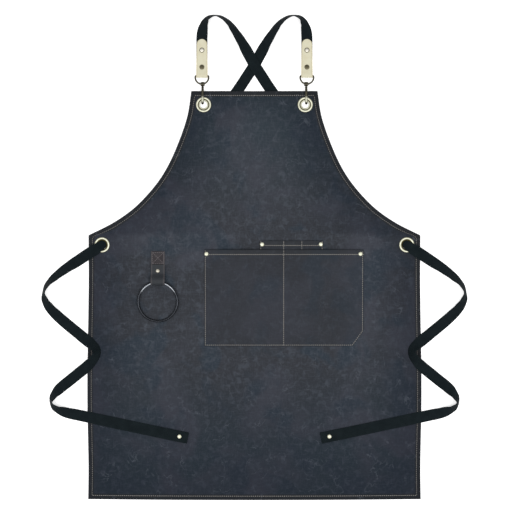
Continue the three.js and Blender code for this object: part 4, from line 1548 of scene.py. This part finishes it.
def loop_seams():
    """Stitch paths of the towel loop: a box and a cross."""
    half = LOOP_WIDE / 2 - LOOP_SEAM
    top = LOOP_TOP - LOOP_SEAM
    left = LOOP_X - half
    right = LOOP_X + half
    a, b, c, d = (left, top), (right, top), (right, LOOP_SEAM_FOOT), (left, LOOP_SEAM_FOOT)
    for line in ((a, b, c, d, a), (a, c), (b, d)):
        yield run(line, lambda x, y: front(LOOP_X, y) + GAP + LOOP_THICK + STITCH_ON)


class APRON_OT_towel_loop(bpy.types.Operator):
    """Makes the dark leather loop that holds the towel ring, with its box of stitches"""

    bl_idname = "apron.towel_loop"
    bl_label = "Towel loop"

    def execute(self, context):
        looks = context.scene.apron_trim
        shades = (looks.loop_colour, looks.loop_edge_colour, looks.loop_back_colour)
        leather = tanned_leather("dark_oiled_leather_cut_strip", *shades, grain=1.4, gloss=0.15)
        path = loop_path()
        bm = strip_mesh(path, lambda i: LOOP_WIDE / 2, LOOP_THICK, LOOP_X, turned_from=LOOP_BACK_POINTS)
        loop = make_piece("towel_loop_leather", bm, leather, "loop_leather", "towel_loop")
        stitches = bmesh.new()
        for line in loop_seams():
            seam(stitches, line, SUNK_THREAD)
        thread = make_piece("towel_loop_stitches", stitches, brown_thread(), "canvas")
        flat = (LOOP_WIDE * MM, path_length(path) * MM)
        return {"FINISHED"}


def ring_painted_highlight(at):
    """How strong the painted highlight is on the ring: on the inside of its upper arcs, which slide in the
    loop.
    """
    inner = fall(at.xy.length - RING_RADIUS, *HIGHLIGHT_INNER)
    from_top = abs(math.atan2(at.x, at.y))
    return inner * rise(at.z, *HIGHLIGHT_FRONT) * fall(from_top, *HIGHLIGHT_ARC)


class APRON_OT_towel_ring(bpy.types.Operator):
    """Makes the gunmetal ring that swings in the towel loop"""

    bl_idname = "apron.towel_ring"
    bl_label = "Towel ring"

    def execute(self, context):
        bm = ring(RING_RADIUS, RING_WIRE, RING_WIRE, 20, 96)
        # A painted highlight on the inside of the upper arcs.
        paint_highlight(bm, ring_painted_highlight)
        rests = front(LOOP_X, RING_TOP - 2 * RING_RADIUS) + GAP + RING_WIRE
        lean = math.asin((ring_axis() - rests) / (2 * RING_RADIUS))
        hang = Matrix.Rotation(lean, 4, "X") @ Matrix.Translation((0, -RING_RADIUS, 0))
        bm = moved(bm, LOOP_X, RING_TOP, ring_axis(), hang)
        make_piece("towel_ring_wire", bm, gunmetal(), "gunmetal", "towel_ring", body="towel_ring")
        return {"FINISHED"}


# Stage


class APRON_OT_stage(bpy.types.Operator):
    """Makes the floor, the soft lights and the camera above the apron"""

    bl_idname = "apron.stage"
    bl_label = "Stage"

    def execute(self, context):
        scene = context.scene
        looks = scene.apron_stage

        def stand(name, data):
            """Puts a mesh, a light or a camera in the scene."""
            made = bpy.data.objects.new(name, data)
            scene.collection.objects.link(made)
            return made

        bm = bmesh.new()
        bmesh.ops.create_grid(bm, x_segments=8, y_segments=8, size=FLOOR_HALF)
        mesh = bpy.data.meshes.new("floor")
        bm.to_mesh(mesh)
        bm.free()
        mesh.materials.append(studio_floor())
        stand("floor", mesh)
        x, y, z = SOFTBOX_AT
        for side, sign in SIDES:
            light = bpy.data.lights.new(f"softbox_{side}", "AREA")
            light.size = looks.softbox_size
            light.energy = looks.softbox_power
            softbox = stand(light.name, light)
            softbox.location = (sign * x, y, z)
            softbox.rotation_euler = softbox.location.to_track_quat("Z", "Y").to_euler()
        world = bpy.data.worlds.new("studio")
        world.use_nodes = True
        background = world.node_tree.nodes["Background"]
        background.inputs["Color"].default_value = (1, 1, 1, 1)
        background.inputs["Strength"].default_value = looks.fill_light
        scene.world = world
        scene.view_settings.view_transform = "Standard"
        lens = bpy.data.cameras.new("camera")
        lens.sensor_width = SENSOR_MM
        lens.lens = SENSOR_MM * looks.camera_height / looks.view_width
        scene.camera = stand("camera", lens)
        scene.camera.location = (*CAMERA_AT, looks.camera_height)
        return {"FINISHED"}


def colour(name, description, hex_colour):
    """A colour that a user can change."""
    return FloatVectorProperty(
        name=name, description=description, default=linear(hex_colour), subtype="COLOR", size=4, min=0, max=1
    )


def number(name, description, default, least=0.0, unit="NONE"):
    """A number that a user can change."""
    return FloatProperty(name=name, description=description, default=default, min=least, unit=unit)


class ApronCloth(bpy.types.PropertyGroup):
    """Colours of the cloth, webbing and thread, and the size of the stitches"""

    # The canvas colour is its colour in the middle, where painted shade is left off.
    canvas_colour: colour("Canvas", "Slate of the waxed canvas in its faded middle", "#29333a")
    canvas_handled_colour: colour("Handled canvas", "Greyer middle of the apron, rubbed by hands", "#2e3035")
    # Colour of the painted shade that darkens the canvas towards its edges.
    canvas_painted_shade_colour: colour("Canvas painted shade", "Shade that deepens the slate towards the edges", "#aaafbc")
    canvas_plum_colour: colour("Plum clouds", "Large plum clouds in the wax", "#383a42")
    canvas_blue_colour: colour("Blue clouds", "Blue clouds in the wax", "#28313a")
    canvas_pale_colour: colour("Pale patches", "Small rubbed patches", "#434850")
    canvas_vein_colour: colour("Veins", "Cracks in the wax along creases", "#585d66")
    hem_colour: colour("Hem", "Cloth in the doubled hem", "#2d2e2f")
    webbing_colour: colour("Webbing", "Straps and ties", "#0e1518")
    webbing_worn_colour: colour("Worn webbing", "Rubbed places on the straps", "#242d30")
    thread_colour: colour("Thread", "Stitches", "#86837e")
    thread_waxed_colour: colour("Waxed thread", "Stitches soaked with wax", "#6f6c68")
    loop_thread_colour: colour("Loop thread", "Stitches of the towel loop", "#6a6467")
    loop_thread_waxed_colour: colour("Waxed loop thread", "Stitches of the loop soaked with wax", "#565053")
    stitch_length: number("Stitch length", "Length of one stitch", 3.9 * MM, MM, "LENGTH")
    stitch_pitch: number("Stitch pitch", "From one stitch to the next", 4.3 * MM, 2 * MM, "LENGTH")
    stitch_width: number("Thread width", "Width of the thread", 2.0 * MM, 0.2 * MM, "LENGTH")

    def stitch_sizes(self, share):
        """Length, pitch and width of a stitch in millimetres, for a share of the thread that shows."""
        return self.stitch_length / MM, self.stitch_pitch / MM, share * self.stitch_width / MM


class ApronTrim(bpy.types.PropertyGroup):
    """Colours of the leather and the metal"""

    tab_colour: colour("Tab leather", "Pale leather of the tabs", "#cecab1")
    tab_edge_colour: colour("Tab edge", "Rubbed edge of the tabs", "#c0b596")
    loop_colour: colour("Loop leather", "Dark leather of the towel loop", "#292528")
    loop_back_colour: colour("Loop back", "Back of the loop's leather, turned to the front", "#2b2e32")
    loop_edge_colour: colour("Loop edge", "Rubbed edge of the towel loop", "#4a4749")
    brass_colour: colour("Brass", "Grommets and rivets", "#dadac6")
    brass_tarnish_colour: colour("Brass tarnish", "Dull spots on the brass", "#c1c1a7")
    # Dark patina painted in grooves, where it also stands in for their shade.
    patina_and_shade_colour: colour("Patina and shade", "Dark metal in grooves", "#3f381a")
    # Colour of the painted highlight on the towel ring.
    ring_highlight_colour: colour("Ring highlight", "Bright steel where the ring's plating is rubbed off", "#ccd1d8")
    nickel_colour: colour("Nickel", "Rivets of the tabs and the towel loop", "#dcd8cc")
    nickel_worn_colour: colour("Worn nickel", "Dull spots on the nickel", "#a9a294")
    bronze_colour: colour("Bronze", "D-rings and hooks", "#46443a")
    bronze_rubbed_colour: colour("Rubbed bronze", "Places where the plating is thin", "#5d594a")
    gunmetal_colour: colour("Gunmetal", "Towel ring", "#2c2e32")
    gunmetal_rubbed_colour: colour("Rubbed gunmetal", "Places where the plating is thin", "#383a3e")


class ApronStage(bpy.types.PropertyGroup):
    """Light, floor and camera"""

    floor_colour: colour("Floor", "White floor", "#fbfbfb")
    floor_glow: number("Floor glow", "Light that the floor gives", 0.5)
    softbox_size: number("Softbox size", "Side of each square softbox", 1.0, 0.1, "LENGTH")
    softbox_power: number("Softbox power", "Power of each softbox", 44.0, unit="POWER")
    fill_light: number("Fill light", "Strength of the light from all around", 0.7)
    camera_height: number("Camera height", "Height of the camera above the floor", 3.0, 1.0, "LENGTH")
    view_width: number("View width", "Width of the floor that the camera sees", 1.0557, 0.1, "LENGTH")


GROUPS = {"apron_cloth": ApronCloth, "apron_trim": ApronTrim, "apron_stage": ApronStage}
OPERATORS = (
    APRON_OT_stage,
    APRON_OT_panel,
    APRON_OT_pockets,
    APRON_OT_grommets,
    APRON_OT_straps,
    APRON_OT_d_rings,
    APRON_OT_tabs,
    APRON_OT_snap_hooks,
    APRON_OT_rivets,
    APRON_OT_towel_loop,
    APRON_OT_towel_ring,
)


class APRON_PT_pieces(bpy.types.Panel):
    """Lists the apron's pieces and the values that change them"""

    bl_idname = "APRON_PT_pieces"
    bl_label = "Cross-back apron"
    bl_space_type = "VIEW_3D"
    bl_region_type = "UI"
    bl_category = "Apron"

    def draw(self, context):
        for operator in OPERATORS:
            self.layout.operator(operator.bl_idname)
        for name, group in GROUPS.items():
            box = self.layout.box()
            for key in group.__annotations__:
                box.prop(getattr(context.scene, name), key)


def register():
    for group in GROUPS.values():
        bpy.utils.register_class(group)
    for name, group in GROUPS.items():
        setattr(bpy.types.Scene, name, PointerProperty(type=group))
    for listed in (*OPERATORS, APRON_PT_pieces):
        bpy.utils.register_class(listed)


def unregister():
    for listed in (APRON_PT_pieces, *reversed(OPERATORS)):
        bpy.utils.unregister_class(listed)
    for name in GROUPS:
        delattr(bpy.types.Scene, name)
    for group in reversed(GROUPS.values()):
        bpy.utils.unregister_class(group)


def main():
    register()
    bpy.ops.apron.stage()
    bpy.ops.apron.panel()
    bpy.ops.apron.pockets()
    bpy.ops.apron.grommets()
    bpy.ops.apron.straps()
    bpy.ops.apron.d_rings()
    bpy.ops.apron.tabs()
    bpy.ops.apron.snap_hooks()
    bpy.ops.apron.rivets()
    bpy.ops.apron.towel_loop()
    bpy.ops.apron.towel_ring()


if __name__ == "__main__":
    main()
